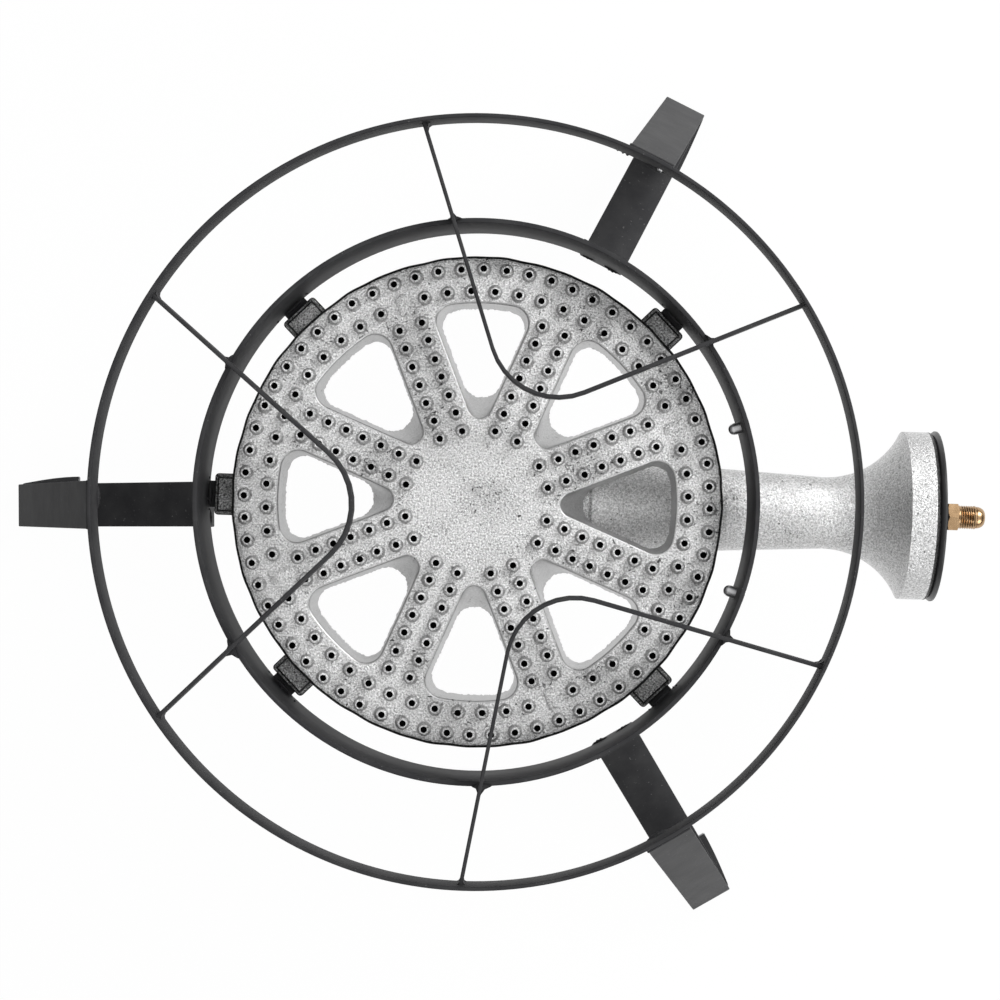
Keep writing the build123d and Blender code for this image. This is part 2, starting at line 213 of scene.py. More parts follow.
def silver_painted_iron(name, depth, hollow_tone, crest_tone):
    """Aluminium paint on sand-cast iron: grain of a depth in millimetres between two tones, and pits."""
    finish, tree, shader, place = new_finish(name)
    sand = {"Vector": place, "Scale": per_metre(GRAIN), "Detail": 6.0, "Roughness": 0.65}
    grain = add(tree, "TexNoise", sand)
    cloud = add(tree, "TexNoise", {"Vector": place, "Scale": per_metre(PIT_CLUSTER), "Detail": 3.0})
    gas = {"Vector": place, "Scale": per_metre(PIT), "Detail": 4.0, "Distortion": 0.8}
    pits = add(tree, "TexNoise", gas)
    thick = add(tree, "MapRange", {"Value": cloud.outputs["Fac"], "To Min": 0.8, "To Max": 1.2})
    spots = add(tree, "Math", {0: pits.outputs["Fac"], 1: thick.outputs[0]}, operation="MULTIPLY")
    pit = add(tree, "MapRange", {"Value": spots.outputs[0], "From Min": 0.65, "From Max": 0.74})
    crest = add(tree, "MapRange", {"Value": grain.outputs["Fac"], "From Min": 0.36, "From Max": 0.64})
    tones = {0: crest.outputs[0], 6: linear(hollow_tone), 7: linear(crest_tone)}
    tone = add(tree, "Mix", tones, data_type="RGBA")
    tones = {0: pit.outputs[0], 6: tone.outputs[2], 7: linear("#484848")}
    pitted = add(tree, "Mix", tones, data_type="RGBA")
    relief = add(tree, "Math", {0: grain.outputs["Fac"], 1: pit.outputs[0]}, operation="SUBTRACT")
    rough = add(tree, "MapRange", {"Value": cloud.outputs["Fac"], "From Min": 0.3, "To Min": 0.45})
    relief = {"Height": relief.outputs[0], "Strength": rough.outputs[0], "Distance": depth * MM}
    bump = add(tree, "Bump", relief)
    gloss = add(tree, "MapRange", {"Value": cloud.outputs["Fac"], "To Min": 0.28, "To Max": 0.42})
    connect(tree, shader, {"Base Color": pitted.outputs[2], "Metallic": 0.85})
    connect(tree, shader, {"Roughness": gloss.outputs[0], "Normal": bump.outputs["Normal"]})
    return finish


silver_casting = silver_painted_iron("silver_painted_iron", 1.4, "#929292", "#f8f8f8")
silver_tube = silver_painted_iron("silver_painted_tube", 1.1, "#a0a0a0", "#f4f4f4")
# Smoother grain than the top; its tones are a little darker as painted shade.
silver_wall_smooth_shaded = silver_painted_iron("silver_painted_wall_smooth_shaded", 0.2, "#acacac", "#c8c8c8")
silver_lug = silver_painted_iron("silver_painted_lug", 1.6, "#4a4a4a", "#ffffff")
# Darker tones than the top: painted shade on the ports' skirts.
silver_skirt_shade = silver_painted_iron("silver_painted_skirt_shade", 0.5, "#8c8c8c", "#d6d6d6")
# Near black: painted shade along the rim's edge, the lugs' sides and the tube's mouth.
silver_rim_shade = silver_painted_iron("silver_painted_rim_shade", 1.2, "#161616", "#5a5a5a")
print("silver finishes", [finish.name for finish in bpy.data.materials if "silver" in finish.name])

# %% [markdown]
# ### Soot and painted shade, brass, zinc, dark steel and the shutter's enamel
# The ports are dark inside with soot and painted shade. The fitting and the jet are turned from brass
# bar, which leaves fine rings. The bolts are bright zinc and the lock nut is dark. The shutter has a
# glossier black dip. All but the ports' inside share one recipe, in which a single noise moves tone
# and gloss together, as wear does. Real turning marks are finer than a pixel, so these are drawn 3 mm
# apart to show at all.

# %% Small finishes
FLAKE = 0.8
TURNING = 3.1416
WAVES_PER_SCALE = 20 / (2 * np.pi)


def soot_and_shade_black():
    """Soot and shadow inside a port: rough, nearly black, a little uneven."""
    finish, tree, shader, place = new_finish("soot_and_shade_black")
    flake = add(tree, "TexNoise", {"Vector": place, "Scale": per_metre(FLAKE)})
    # Near black: soot, and painted shade deep in the bore.
    tones = {0: flake.outputs["Fac"], 6: linear("#040404"), 7: linear("#0e0d0d")}
    tone = add(tree, "Mix", tones, data_type="RGBA")
    connect(tree, shader, {"Base Color": tone.outputs[2], "Roughness": 0.95, "Specular IOR Level": 0.1})
    return finish


def clouded(name, size, tones, gloss, metal, detail=3.0):
    """Finish in which one noise of a size in millimetres moves the tone and the gloss between two ends."""
    finish, tree, shader, place = new_finish(name)
    cloud = add(tree, "TexNoise", {"Vector": place, "Scale": per_metre(size), "Detail": detail})
    mix = {0: cloud.outputs["Fac"], 6: linear(tones[0]), 7: linear(tones[1])}
    tone = add(tree, "Mix", mix, data_type="RGBA")
    rough = add(tree, "MapRange", {"Value": cloud.outputs["Fac"], "To Min": gloss[0], "To Max": gloss[1]})
    connect(tree, shader, {"Base Color": tone.outputs[2], "Roughness": rough.outputs[0], "Metallic": metal})
    return finish, tree, shader, place, cloud


def turned_brass():
    """Brass bar turned on a lathe: a warm, slightly cloudy tone and fine rings across the axis."""
    brass_tones = ("#a68663", "#c0a27e")
    finish, tree, shader, place, _ = clouded("turned_brass", 5.0, brass_tones, (0.2, 0.34), 1.0)
    pitch = per_metre(TURNING) / WAVES_PER_SCALE
    rings = add(tree, "TexWave", {"Vector": place, "Scale": pitch, "Distortion": 0.6})
    bump = add(tree, "Bump", {"Height": rings.outputs["Fac"], "Strength": 0.08, "Distance": 0.05 * MM})
    connect(tree, shader, {"Normal": bump.outputs["Normal"]})
    return finish


def shutter_enamel():
    """Glossy black dip on the pressed shutter, with scuffs of about 6 mm that can be felt."""
    black = ("#2a2a2b", "#3a3a3b")
    finish, tree, shader, _, scuff = clouded("shutter_enamel", 6.0, black, (0.24, 0.44), 0.0, detail=4.0)
    bump = add(tree, "Bump", {"Height": scuff.outputs["Fac"], "Strength": 0.12, "Distance": 0.1 * MM})
    connect(tree, shader, {"Normal": bump.outputs["Normal"]})
    return finish


soot_and_shade = soot_and_shade_black()
brass = turned_brass()
zinc = clouded("bright_zinc", 3.0, ("#b2b2b4", "#dededf"), (0.22, 0.42), 1.0)[0]
# The lock nut's finish: plain dark steel.
dark_steel = clouded("dark_steel_nut", 2.0, ("#1b1a1a", "#3a3836"), (0.3, 0.5), 0.6)[0]
enamel = shutter_enamel()
print(soot_and_shade.name, brass.name, zinc.name, dark_steel.name, enamel.name)

# %% [markdown]
# ## Rolled and bent strip
# The stand is all flat bar. Its section is a rectangle with slightly rounded edges, which catch the
# light. A ring carries that section round a circle. A Bevel modifier on a plain ring would round the
# edges too, but the section gives both rings and all bends the same edge.

# %% Section and ring
STRIP_EDGE = 0.5
EDGE_STEPS = 3
UP = np.array([0.0, 0.0, 1.0])


def flat_bar(width, thickness, edge=STRIP_EDGE):
    """Section of flat bar as (across, through): a rectangle with a quarter circle at each corner."""
    quarter = np.linspace(0, np.pi / 2, EDGE_STEPS + 1)
    turn = np.add.outer(np.arange(4) * np.pi / 2, quarter).ravel()
    corner = np.repeat((np.arange(4) + 0.5) * np.pi / 2, EDGE_STEPS + 1)
    across = np.sign(np.cos(corner)) * (width / 2 - edge) + edge * np.cos(turn)
    through = np.sign(np.sin(corner)) * (thickness / 2 - edge) + edge * np.sin(turn)
    return np.column_stack([across, through])


def turn_about_z(points, angle):
    """Points turned about the upright axis, in degrees."""
    cosine, sine = np.cos(np.radians(angle)), np.sin(np.radians(angle))
    return points @ np.array([[cosine, sine, 0], [-sine, cosine, 0], [0, 0, 1]])


def round_points(radius, angle, height):
    """Points at a radius and an angle about the upright axis and at a height, spread to one shape."""
    return np.stack(np.broadcast_arrays(radius * np.cos(angle), radius * np.sin(angle), height), axis=-1)


def swung(points, angle, finish=0):
    """Skin closed round its columns, turned about the upright axis to its angle in degrees."""
    return grid(turn_about_z(points, angle), close_columns=True, finish=finish)


def rolled_ring(outer_r, thickness, bottom, top, columns):
    """Flat bar on edge rolled into a ring: its section carried round the upright axis."""
    bar = flat_bar(top - bottom, thickness)
    angle = np.linspace(0, 2 * np.pi, columns, endpoint=False)[:, None]
    radius = outer_r - thickness / 2 + bar[:, 1]
    height = (bottom + top) / 2 + bar[:, 0]
    return grid(round_points(radius, angle, height), close_rows=True, close_columns=True)


print("section points", len(flat_bar(20, 2)))

# %% [markdown]
# Legs and bars carry the same section along runs and bends. A curve object with a bevel could do it,
# but it would pinch the strip at tight bends. Here each bend is a true arc that touches both runs, and
# the strip keeps its width and thickness.

# %% Bent bar
BEND_STEPS = 10
END_SECTIONS = 3


def bent_line(corners, radii):
    """Runs joined by arcs that touch both, in a plane: points and unit directions along the line."""
    corners = np.asarray(corners, float)
    steps = np.diff(corners, axis=0)
    runs = steps / np.linalg.norm(steps, axis=1)[:, None]
    points, directions = [corners[:1]], [runs[:1]]
    for corner, run, after, radius in zip(corners[1:-1], runs, runs[1:], radii):
        turn = np.arctan2(run[0] * after[1] - run[1] * after[0], run @ after)
        side = np.sign(turn) * radius * np.array([-run[1], run[0]])
        centre = corner - radius * np.tan(abs(turn) / 2) * run + side
        swing = np.linspace(0, turn, BEND_STEPS)
        cosine, sine = np.cos(swing)[:, None], np.sin(swing)[:, None]
        points.append(centre - cosine * side - sine * np.array([-side[1], side[0]]))
        directions.append(cosine * run + sine * np.array([-run[1], run[0]]))
    points.append(corners[-1:])
    directions.append(runs[-1:])
    return np.concatenate(points), np.concatenate(directions)


def bent_bar(width, thickness, points, directions, across):
    """Flat bar carried along a line in space, across being its width; its cut ends are eased and closed."""
    ends = [0] * END_SECTIONS + [*range(1, len(points) - 1)] + [-1] * END_SECTIONS
    ease = np.zeros((len(ends), 1))
    ease[2], ease[-3] = STRIP_EDGE, -STRIP_EDGE
    middle = points[ends] + ease * directions[ends]
    through = np.cross(directions[ends], across)
    full = flat_bar(width, thickness)
    small = flat_bar(width - 2 * STRIP_EDGE, thickness - 2 * STRIP_EDGE, STRIP_EDGE / 2)
    sections = np.repeat(full[None], len(ends), axis=0)
    sections[[0, 1, -2, -1]] = small
    sections[[0, -1], :, 1] = 0
    return middle[:, None] + sections[..., :1] * across + sections[..., 1:] * through[:, None]


print("points on one bend", len(bent_line([(0, 0), (50, 0), (50, 50)], [10])[0]) - 2)

# %% [markdown]
# ## The two rings
# The outer ring keeps the pot in place, and the taller band inside it carries the burner. Both are
# strip on edge. A torus has a round section and can't be used, so the section above is rolled, with
# enough columns to keep the circles smooth in a close view.

# %% Outer ring and band
RING_STRIP = 2.0
BAND_STRIP = 2.5
RING_COLUMNS = 240
BAND_COLUMNS = 200
ring_low, ring_high = span("outer_ring")
band_low, band_high = span("burner_band")
ring_r, band_r = ring_high[0], band_high[0]


def stand_piece(name, grids, *nodes):
    """Piece of the stand, all in black paint."""
    make_piece(name, grids, [black_paint], nodes)


ring = rolled_ring(ring_r, RING_STRIP, ring_low[2], ring_high[2], RING_COLUMNS)
stand_piece("ring_strip", [ring], "outer_ring")
band = rolled_ring(band_r, BAND_STRIP, band_low[2], band_high[2], BAND_COLUMNS)
stand_piece("band_strip", [band], "burner_band")

# %% [markdown]
# ## Pot bars
# Three V-shaped bars carry the pot. Each is strip on edge, bent at its tip, and its two ends are cut
# to the ring. A Boolean would cut them, but leaves thin stray faces. Instead each end point slides
# along its arm to the ring's radius, and how far it goes follows from a quadratic.

# %% Pot bars
BAR_ANGLES = (66.1, 182.5, 303.0)
BAR_STRIP = 2.0
BAR_APEX = 62.6
BAR_SPLAY = np.radians(42.6)
BAR_BEND = 35.0
UNCUT_ARM = 0.8 * ring_r
bar_low, bar_high = span("pot_bar_1")
ring_inner_r = ring_r - RING_STRIP
arm_way = np.array([np.cos(BAR_SPLAY), np.sin(BAR_SPLAY)])
tip = np.array([BAR_APEX - BAR_BEND * (1 / np.sin(BAR_SPLAY) - 1), 0.0])


def pot_bar(angle):
    """V-shaped bar on edge; its end sections slide along the arms to the ring's inner face."""
    arm = UNCUT_ARM * arm_way
    plan, way = bent_line([tip + arm, tip, tip + arm * (1, -1)], [BAR_BEND])
    level = (bar_low[2] + bar_high[2]) / 2
    points = np.column_stack([plan, np.full(len(plan), level)])
    directions = np.column_stack([way, np.zeros(len(way))])
    bar = bent_bar(bar_high[2] - bar_low[2], BAR_STRIP, points, directions, UP)
    first, last = slice(0, END_SECTIONS), slice(-END_SECTIONS, None)
    for rows, out in ((first, -directions[0]), (last, directions[-1])):
        flat = bar[rows, :, :2]
        along = flat @ out[:2]
        reach = -along + np.sqrt(along**2 + ring_inner_r**2 - (flat**2).sum(-1))
        bar[rows] += reach[..., None] * out
    return swung(bar, angle)


for number, angle in enumerate(BAR_ANGLES, 1):
    stand_piece(f"pot_bar_strip_{number}", [pot_bar(angle)], f"pot_bar_{number}")

# %% [markdown]
# ## Legs
# A leg starts on the ring's outer face, splays to the floor and turns in as a flat foot. It is 25 mm
# strip bent the easy way, by hand: no two legs reach equally far, and each foot is a little askew. One
# leg copied three times would be quicker but too regular, so each has its own angle, reach and swing.

# %% Legs
LEG_WIDTH = 25.0
LEG_STRIP = 3.0
LEG_LAP = 6.0
LEG_ANGLES = (64.8, 182.2, 301.6)
LEG_REACHES = (265.0, 279.0, 273.0)
LEG_TOP_BEND = 20.0
FOOT_SWINGS = (-1.6, -4.5, 3.2)
FOOT_LENGTH = 37.0
FOOT_BEND = 6.0
FOOT_STEPS = 8
FOOT_ROWS = slice(-(BEND_STEPS // 2 + FOOT_STEPS + 1), None)
SIDEWAYS = np.array([0.0, 1.0, 0.0])
leg_r = ring_r + LEG_STRIP / 2


def upright_strip(corners, radii):
    """Strip bent in an upright plane through the axis; corners are radius and height."""
    line, way = bent_line(corners, radii)
    level = np.zeros(len(line))
    points = np.column_stack([line[:, 0], level, line[:, 1]])
    directions = np.column_stack([way[:, 0], level, way[:, 1]])
    return bent_bar(LEG_WIDTH, LEG_STRIP, points, directions, SIDEWAYS)


def leg_corners(reach):
    """Corners of a leg as radius and height: on the ring, the bend, the foot's corner and its end."""
    floor = LEG_STRIP / 2
    ring_level = ring_low[2]
    up = [(leg_r, ring_level + LEG_LAP), (leg_r, ring_level - LEG_LAP)]
    return np.array([*up, (reach, floor), (reach - FOOT_LENGTH, floor)])


def bent_leg(reach, swing):
    """Leg; past its lower bend the foot swings aside, as a quarter of a sine of its way back."""
    strip = upright_strip(leg_corners(reach), [LEG_TOP_BEND, FOOT_BEND])
    foot = np.linspace(strip[-4], strip[-3], FOOT_STEPS)
    strip = np.concatenate([strip[:-4], foot, strip[-2:]])
    back = (reach - strip[FOOT_ROWS, :, 0]) / FOOT_LENGTH
    strip[FOOT_ROWS, :, 1] += swing * np.sin(np.pi / 2 * back)
    return strip


print("leg sections", len(bent_leg(LEG_REACHES[0], FOOT_SWINGS[0])))

# %% [markdown]
# ## Braces
# A brace leaves the band and meets its leg just above the foot. It is the same strip with one soft
# bend, so the function that bends the legs bends it too. Its lower end is found on the leg's middle
# line, which keeps the two together when a reach changes. The foot's cut end shows bare steel, and
# that is a second finish on the leg's last rows.

# %% Braces
BRACE_LAP = 21.0
BRACE_BEND_HEIGHT = 107.5
BRACE_BEND = 36.0
BRACE_FOOT_HEIGHT = 24.0
brace_r = band_r + LEG_STRIP / 2


def brace_end(reach):
    """Where a brace meets its leg: the leg's middle line at a set height."""
    _, bend, foot, _ = leg_corners(reach)
    drop = (bend[1] - BRACE_FOOT_HEIGHT) / (bend[1] - foot[1])
    return bend + drop * (foot - bend)


def bent_brace(reach):
    """Brace: down the band's outer face, then out to the leg."""
    corners = [(brace_r, band_low[2] + BRACE_LAP), (brace_r, BRACE_BEND_HEIGHT), brace_end(reach)]
    return upright_strip(corners, [BRACE_BEND])


for number, (angle, reach, swing) in enumerate(zip(LEG_ANGLES, LEG_REACHES, FOOT_SWINGS), 1):
    leg = bent_leg(reach, swing)
    parts = [swung(leg[:-2], angle), swung(leg[-3:], angle, finish=1)]
    make_piece(f"leg_strip_{number}", parts, [black_paint, zinc], [f"leg_{number}"])
    stand_piece(f"leg_brace_strip_{number}", [swung(bent_brace(reach), angle)], f"leg_brace_{number}")

# %% [markdown]
# ## Lathe work
# Bolts, nuts and the gas fitting are turned about an axis along X, so a row of points is a place along
# the axis and a radius. A hexagon is a circle whose radius swings with the angle, and a thread is one
# whose radius swings with angle and length together. A Screw modifier could wind the thread, but this
# way both are plain rows that join the rest of the piece.

# %% Turned rows
COLUMNS = 48
THREAD_DEPTH = 0.4
THREAD_STEPS = 8
NUT_CHAMFER = np.radians(30)
around = np.linspace(0, 2 * np.pi, COLUMNS, endpoint=False)


def thread(radius, pitch, start, length):
    """Rows (along, radius) of a V thread: the radius falls by a triangle wave that winds with the angle."""
    along = np.linspace(start, start + length, int(THREAD_STEPS * length / pitch) + 1)[:, None]
    wave = abs(2 * ((along / pitch - around / (2 * np.pi)) % 1) - 1)
    fade = np.clip(np.minimum(along - start, start + length - along) / pitch, 0, 1)
    return along + 0 * around, radius - THREAD_DEPTH * pitch * wave * fade


def hex_block(flats, start, length):
    """Rows (along, radius) of a hexagon, whose radius is half its flats over the cosine to the nearest
    flat's middle; its corners are turned off at both ends."""
    corner = flats / 2 / np.cos((around + np.pi / 6) % (np.pi / 3) - np.pi / 6)
    chamfer = (corner - flats / 2) * np.tan(NUT_CHAMFER)
    along = [start + 0 * around, start + chamfer, start + length - chamfer, start + length + 0 * around]
    return np.array(along), np.array([flats / 2 + 0 * around, corner, corner, flats / 2 + 0 * around])


def turned_rows(*parts):
    """Stack rows of (along, radius); a part given as plain numbers is a list of turned corners."""
    rows = []
    for along, radius in parts:
        full = (len(along), COLUMNS)
        lines = [np.asarray(line) for line in (along, radius)]
        rows.append([np.broadcast_to(line if line.ndim == 2 else line[:, None], full) for line in lines])
    return np.concatenate([row[0] for row in rows]), np.concatenate([row[1] for row in rows])


def about_x(along, radius, axis_z):
    """Points of a shape turned about an axis along X at a height."""
    return np.stack([along, radius * np.cos(around), axis_z + radius * np.sin(around)], axis=-1)


print("rows of one thread turn", THREAD_STEPS)

# %% [markdown]
# ## Seats and bolts of the band
# Five tabs on the band's lower edge carry the burner's lugs, and two bolts pass through the band
# beside the tube. Tabs are short flat bars along the radius. A bolt is turned along X and then moved
# to its place on the band, which is easier than turning it about a slanted axis.

# %% Seats and bolts
LUG_ANGLES = (45.0, 135.0, 180.0, 225.0, 315.0)
SEAT_WIDTH = 14.0
SEAT_STRIP = 3.0
SEAT_REACH = 11.0
BOLT_D = 6.0
BOLT_FLATS = 10.0
BOLT_HEAD = 2.0
BOLT_TIP = 6.5
BOLT_ANGLE = 17.6
DOME_STEPS = 8
inner_band = band_r - BAND_STRIP


def burner_seat(angle):
    """Tab inside the band's lower edge: flat bar along the radius."""
    ends = np.array([[inner_band - SEAT_REACH, 0, 0], [inner_band, 0, 0]])
    points = ends + UP * (band_low[2] + SEAT_STRIP / 2)
    directions = np.array([[1.0, 0, 0], [1.0, 0, 0]])
    tab = bent_bar(SEAT_WIDTH, SEAT_STRIP, points, directions, SIDEWAYS)
    return swung(tab, angle)


def band_bolt(side):
    """Bolt with a low head on the band's outer face; its end stands inside as a quarter-round dome."""
    swing = np.linspace(0, np.pi / 2, DOME_STEPS)
    dome_x = BAND_STRIP + BOLT_TIP - BOLT_D / 2 * (1 - np.sin(swing))
    rows = turned_rows(
        ([-BOLT_HEAD], [0.0]),
        hex_block(BOLT_FLATS, -BOLT_HEAD, BOLT_HEAD),
        ([0.0], [BOLT_D / 2]),
        (dome_x, BOLT_D / 2 * np.cos(swing)),
    )
    points = about_x(*rows, (band_low[2] + band_high[2]) / 2)
    points[..., 0] = band_r - points[..., 0]
    return swung(points, side * BOLT_ANGLE)


for number, angle in enumerate(LUG_ANGLES, 1):
    stand_piece(f"seat_tab_{number}", [burner_seat(angle)], f"burner_seat_{number}")
for number, side in enumerate((1, -1), 1):
    make_piece(f"domed_bolt_{number}", [band_bolt(side)], [zinc], [f"band_bolt_{number}"])

# %% [markdown]
# ## Welds
# The stand is welded by hand, and the paint lies over the welds. A bead is a row of puddles that froze
# one over the other, so its thickness swells and shrinks along it and dies out at both ends. Sculpting
# would give such shapes too, but a formula is quicker and comes out the same each time.

# %% Beads
BEAD_PUDDLE = 2.2
BEAD_SWELL = 0.14
BEAD_TAPER = 0.7
BEAD_ROWS = 15
BEAD_COLUMNS = 10
BEAD_TILT = (0.6, 0.0, 0.8)


def weld_bead(start, end, radius, angle):
    """Bead from start to end: its radius is a power of a half sine, times a ripple for the puddles."""
    start, end = np.array(start), np.array(end)
    length = np.linalg.norm(end - start)
    way = (end - start) / length
    side = np.cross(way, BEAD_TILT)
    side /= np.linalg.norm(side)
    other = np.cross(way, side)
    share = np.linspace(0, 1, BEAD_ROWS)[:, None, None]
    turn = np.linspace(0, 2 * np.pi, BEAD_COLUMNS, endpoint=False)[:, None]
    ripple = 1 + BEAD_SWELL * np.sin(2 * np.pi * share * length / BEAD_PUDDLE)
    thick = radius * np.sin(np.pi * share).clip(0) ** BEAD_TAPER * ripple
    points = start + share * (end - start) + thick * (np.cos(turn) * side + np.sin(turn) * other)
    return swung(points, angle)


print("points of a bead", BEAD_ROWS * BEAD_COLUMNS)

# %% [markdown]
# In the corners where a bar crosses the band or meets the ring, the weld is a three-cornered fillet with
# a hollow edge. A Bevel modifier can't round an edge between two objects, so the fillet is a shape of
# its own. Its size is drawn at random, since no two welds are alike, and a seed keeps the draws.

# %% Fillets
FILLET_SPREAD = (0.3, 1.2)
FILLET_STEPS = 9
FILLET_SAG = 2 / 3
FILLET_ENDS = 0.75
FILLET_EASE = 1 / 5
uneven = np.random.default_rng(11)


def corner_fillet(corner, first, second, low, high, angle):
    """Fillet in a corner of the plan: its free edge sags from the first point to the second towards
    the corner, on a parabola, and its top and bottom are eased."""
    share = np.linspace(0, 1, FILLET_STEPS)[:, None]
    pull = (1 - FILLET_SAG) / 2 * (first + second) + FILLET_SAG * corner
    edge = (1 - share) ** 2 * first + 2 * share * (1 - share) * pull + share**2 * second
    plan = np.vstack([corner, edge])
    middle = plan.mean(axis=0)
    inset = np.array([0, FILLET_ENDS, 1, 1, FILLET_ENDS, 0])[:, None, None]
    ease = FILLET_EASE * (high - low)
    level = np.array([low, low, low + ease, high - ease, high, high])
    height = np.broadcast_to(level[:, None, None], (len(level), len(plan), 1))
    points = np.concatenate([middle + inset * (plan - middle), height], axis=-1)
    return swung(points, angle)


def arm_fillets(radius, out, size, low, high, angle):
    """Fillets on both sides of a bar's two arms at a circle, growing outwards or inwards along the arm."""
    along = -tip[0] * arm_way[0] + np.sqrt(radius**2 - (tip[0] * arm_way[1]) ** 2)
    fillets = []
    for mirror in (1, -1):
        way = arm_way * (1, mirror)
        meet = tip + along * way
        tangent = np.array([-meet[1], meet[0]]) / radius
        for side in (1, -1):
            reach = size * uneven.uniform(*FILLET_SPREAD)
            corner = meet + side * BAR_STRIP / 3 * tangent
            ends = corner + side * reach * tangent, corner + out * reach * way
            fillets.append(corner_fillet(corner - out * way, *ends, low, high, angle))
    return fillets


print("points across a fillet", FILLET_STEPS + 1)

# %% [markdown]
# Bars are welded to the band and the ring, braces to the band and the legs, and legs to the ring. Beads
# could be set one by one in the viewport. Worked out from the strips' own places, they move along when
# a leg or a bar does.

# %% Welds of bars and legs
SINK = 0.3
BAND_FILLET = 5.0
BAND_FILLET_HALF = 3.0
RING_FILLET = 3.2
RING_FILLET_INSET = 1.0
WELD_INSET = 2.0
BRACE_BEAD = 1.5
BRACE_BEAD_OUT = 1.0
UNDER_BEADS = (1.8, 1.4)
UNDER_SPAN = (2.0, 13.0)
UNDER_DROP = 0.5
LEG_BEAD = 1.0
LEG_BEAD_OUT = 0.4
INNER_BEAD = 1.4
FOOT_BEAD = 1.8
FOOT_BEAD_SHIFT = (-3.0, 3.2)


def bar_welds(angle):
    """Fillets of a bar on the band's top edge and at the ring's inner face."""
    level = bar_low[2]
    spread = level - BAND_FILLET_HALF, level + BAND_FILLET_HALF
    on_band = arm_fillets(band_r - SINK, 1, BAND_FILLET, *spread, angle)
    spread = level + RING_FILLET_INSET, bar_high[2] - RING_FILLET_INSET
    return on_band + arm_fillets(ring_inner_r + SINK, -1, RING_FILLET, *spread, angle)


def leg_welds(angle, reach):
    """Beads across the strip, each at a radius and height, from one side to the other and so thick: a
    brace's lap on the band, two under the band, a leg on the ring outside and inside, a brace's foot."""
    half = LEG_WIDTH / 2 - WELD_INSET
    near, far = UNDER_SPAN
    under_r, under_z = inner_band + SINK, band_low[2] - UNDER_DROP
    foot_r, foot_z = brace_end(reach) + FOOT_BEAD_SHIFT
    beads = [
        (band_r + BRACE_BEAD_OUT, band_low[2] + BRACE_LAP, -half, half, BRACE_BEAD),
        (under_r, under_z, -far, -near, UNDER_BEADS[0]),
        (under_r, under_z, near, far, UNDER_BEADS[1]),
        (ring_r + LEG_BEAD_OUT, ring_low[2] + LEG_LAP, -half, half, LEG_BEAD),
        (ring_inner_r, ring_low[2] + SINK, -half, near, INNER_BEAD),
        (foot_r, foot_z, -half, half, FOOT_BEAD),
    ]
    return [weld_bead((r, start, z), (r, end, z), thick, angle) for r, z, start, end, thick in beads]


weld_grids = [weld for angle in BAR_ANGLES for weld in bar_welds(angle)]
weld_grids += [weld for place in zip(LEG_ANGLES, LEG_REACHES) for weld in leg_welds(*place)]
print("welds of bars and legs", len(weld_grids))

# %% [markdown]
# Seats are welded inside the band, where drops of spatter stick, and under the ring three drips hang at
# the first leg. Particles could scatter the drops, but five a seat are few enough for short beads. All
# welds are one piece, because one pass of paint covers them. One spot has lost its paint and shows bare
# steel, so it is a piece of its own.

# %% Welds of the seats
SEAT_BEAD = 1.4
SEAT_BEAD_IN = 0.4
SEAT_BEAD_UP = 0.2
SPATTER = 5
SPATTER_RISE = (1, 8)
SPATTER_ASIDE = 4.5
SPATTER_R = (0.5, 0.9)
SPATTER_RUN = (0, 1.4, 0.4)
DRIPS_ASIDE = (10.5, 13.0, 16.0)
DRIP_RUN = (0, 2.0, -0.4)
DRIP_R = 0.9
CHIP_AT = (-0.2, -8.5, 4.0)
CHIP_RUN = (0, 3.0, 0.6)
CHIP_R = 1.3


def seat_welds(angle):
    """Bead between a seat and the band, with a few drops of spatter beside it."""
    corner = np.array([inner_band - SEAT_BEAD_IN, 0, band_low[2] + SEAT_STRIP + SEAT_BEAD_UP])
    half = np.array([0, SEAT_WIDTH / 2, 0])
    beads = [weld_bead(corner - half, corner + half, SEAT_BEAD, angle)]
    for _ in range(SPATTER):
        drop = corner + (SEAT_BEAD_IN, 0, uneven.uniform(*SPATTER_RISE))
        aside = uneven.uniform(-SPATTER_ASIDE, SPATTER_ASIDE)
        beads.append(weld_bead(drop, drop + SPATTER_RUN, uneven.uniform(*SPATTER_R), angle + aside))
    return beads


weld_grids += [weld for angle in LUG_ANGLES for weld in seat_welds(angle)]
for aside in DRIPS_ASIDE:
    drip = np.array([ring_inner_r, aside, ring_low[2] - SINK])
    weld_grids.append(weld_bead(drip, drip + DRIP_RUN, DRIP_R, LEG_ANGLES[0]))
stand_piece("weld_beads", weld_grids)
chip = np.array([ring_inner_r, 0, ring_low[2]]) + CHIP_AT
bare_spot = weld_bead(chip, chip + CHIP_RUN, CHIP_R, LEG_ANGLES[0])
make_piece("bare_weld_spot", [bare_spot], [zinc])

# %% [markdown]
# ## Panels with windows
# The burner's head, the bell's web and the shutter are all discs with windows. The usual way is to cut
# them with a Boolean, which leaves long thin faces that shade badly. In angle and radius a slice of
# such a disc is a rectangle, so here rays from the window's middle run out to that rectangle, and an
# even grid fills the space between the window's edge and the rectangle.

# %% Windowed discs
def polar(outline):
    """Points of the plan as angle and radius."""
    return np.arctan2(outline[:, 1], outline[:, 0]), np.hypot(outline[:, 0], outline[:, 1])


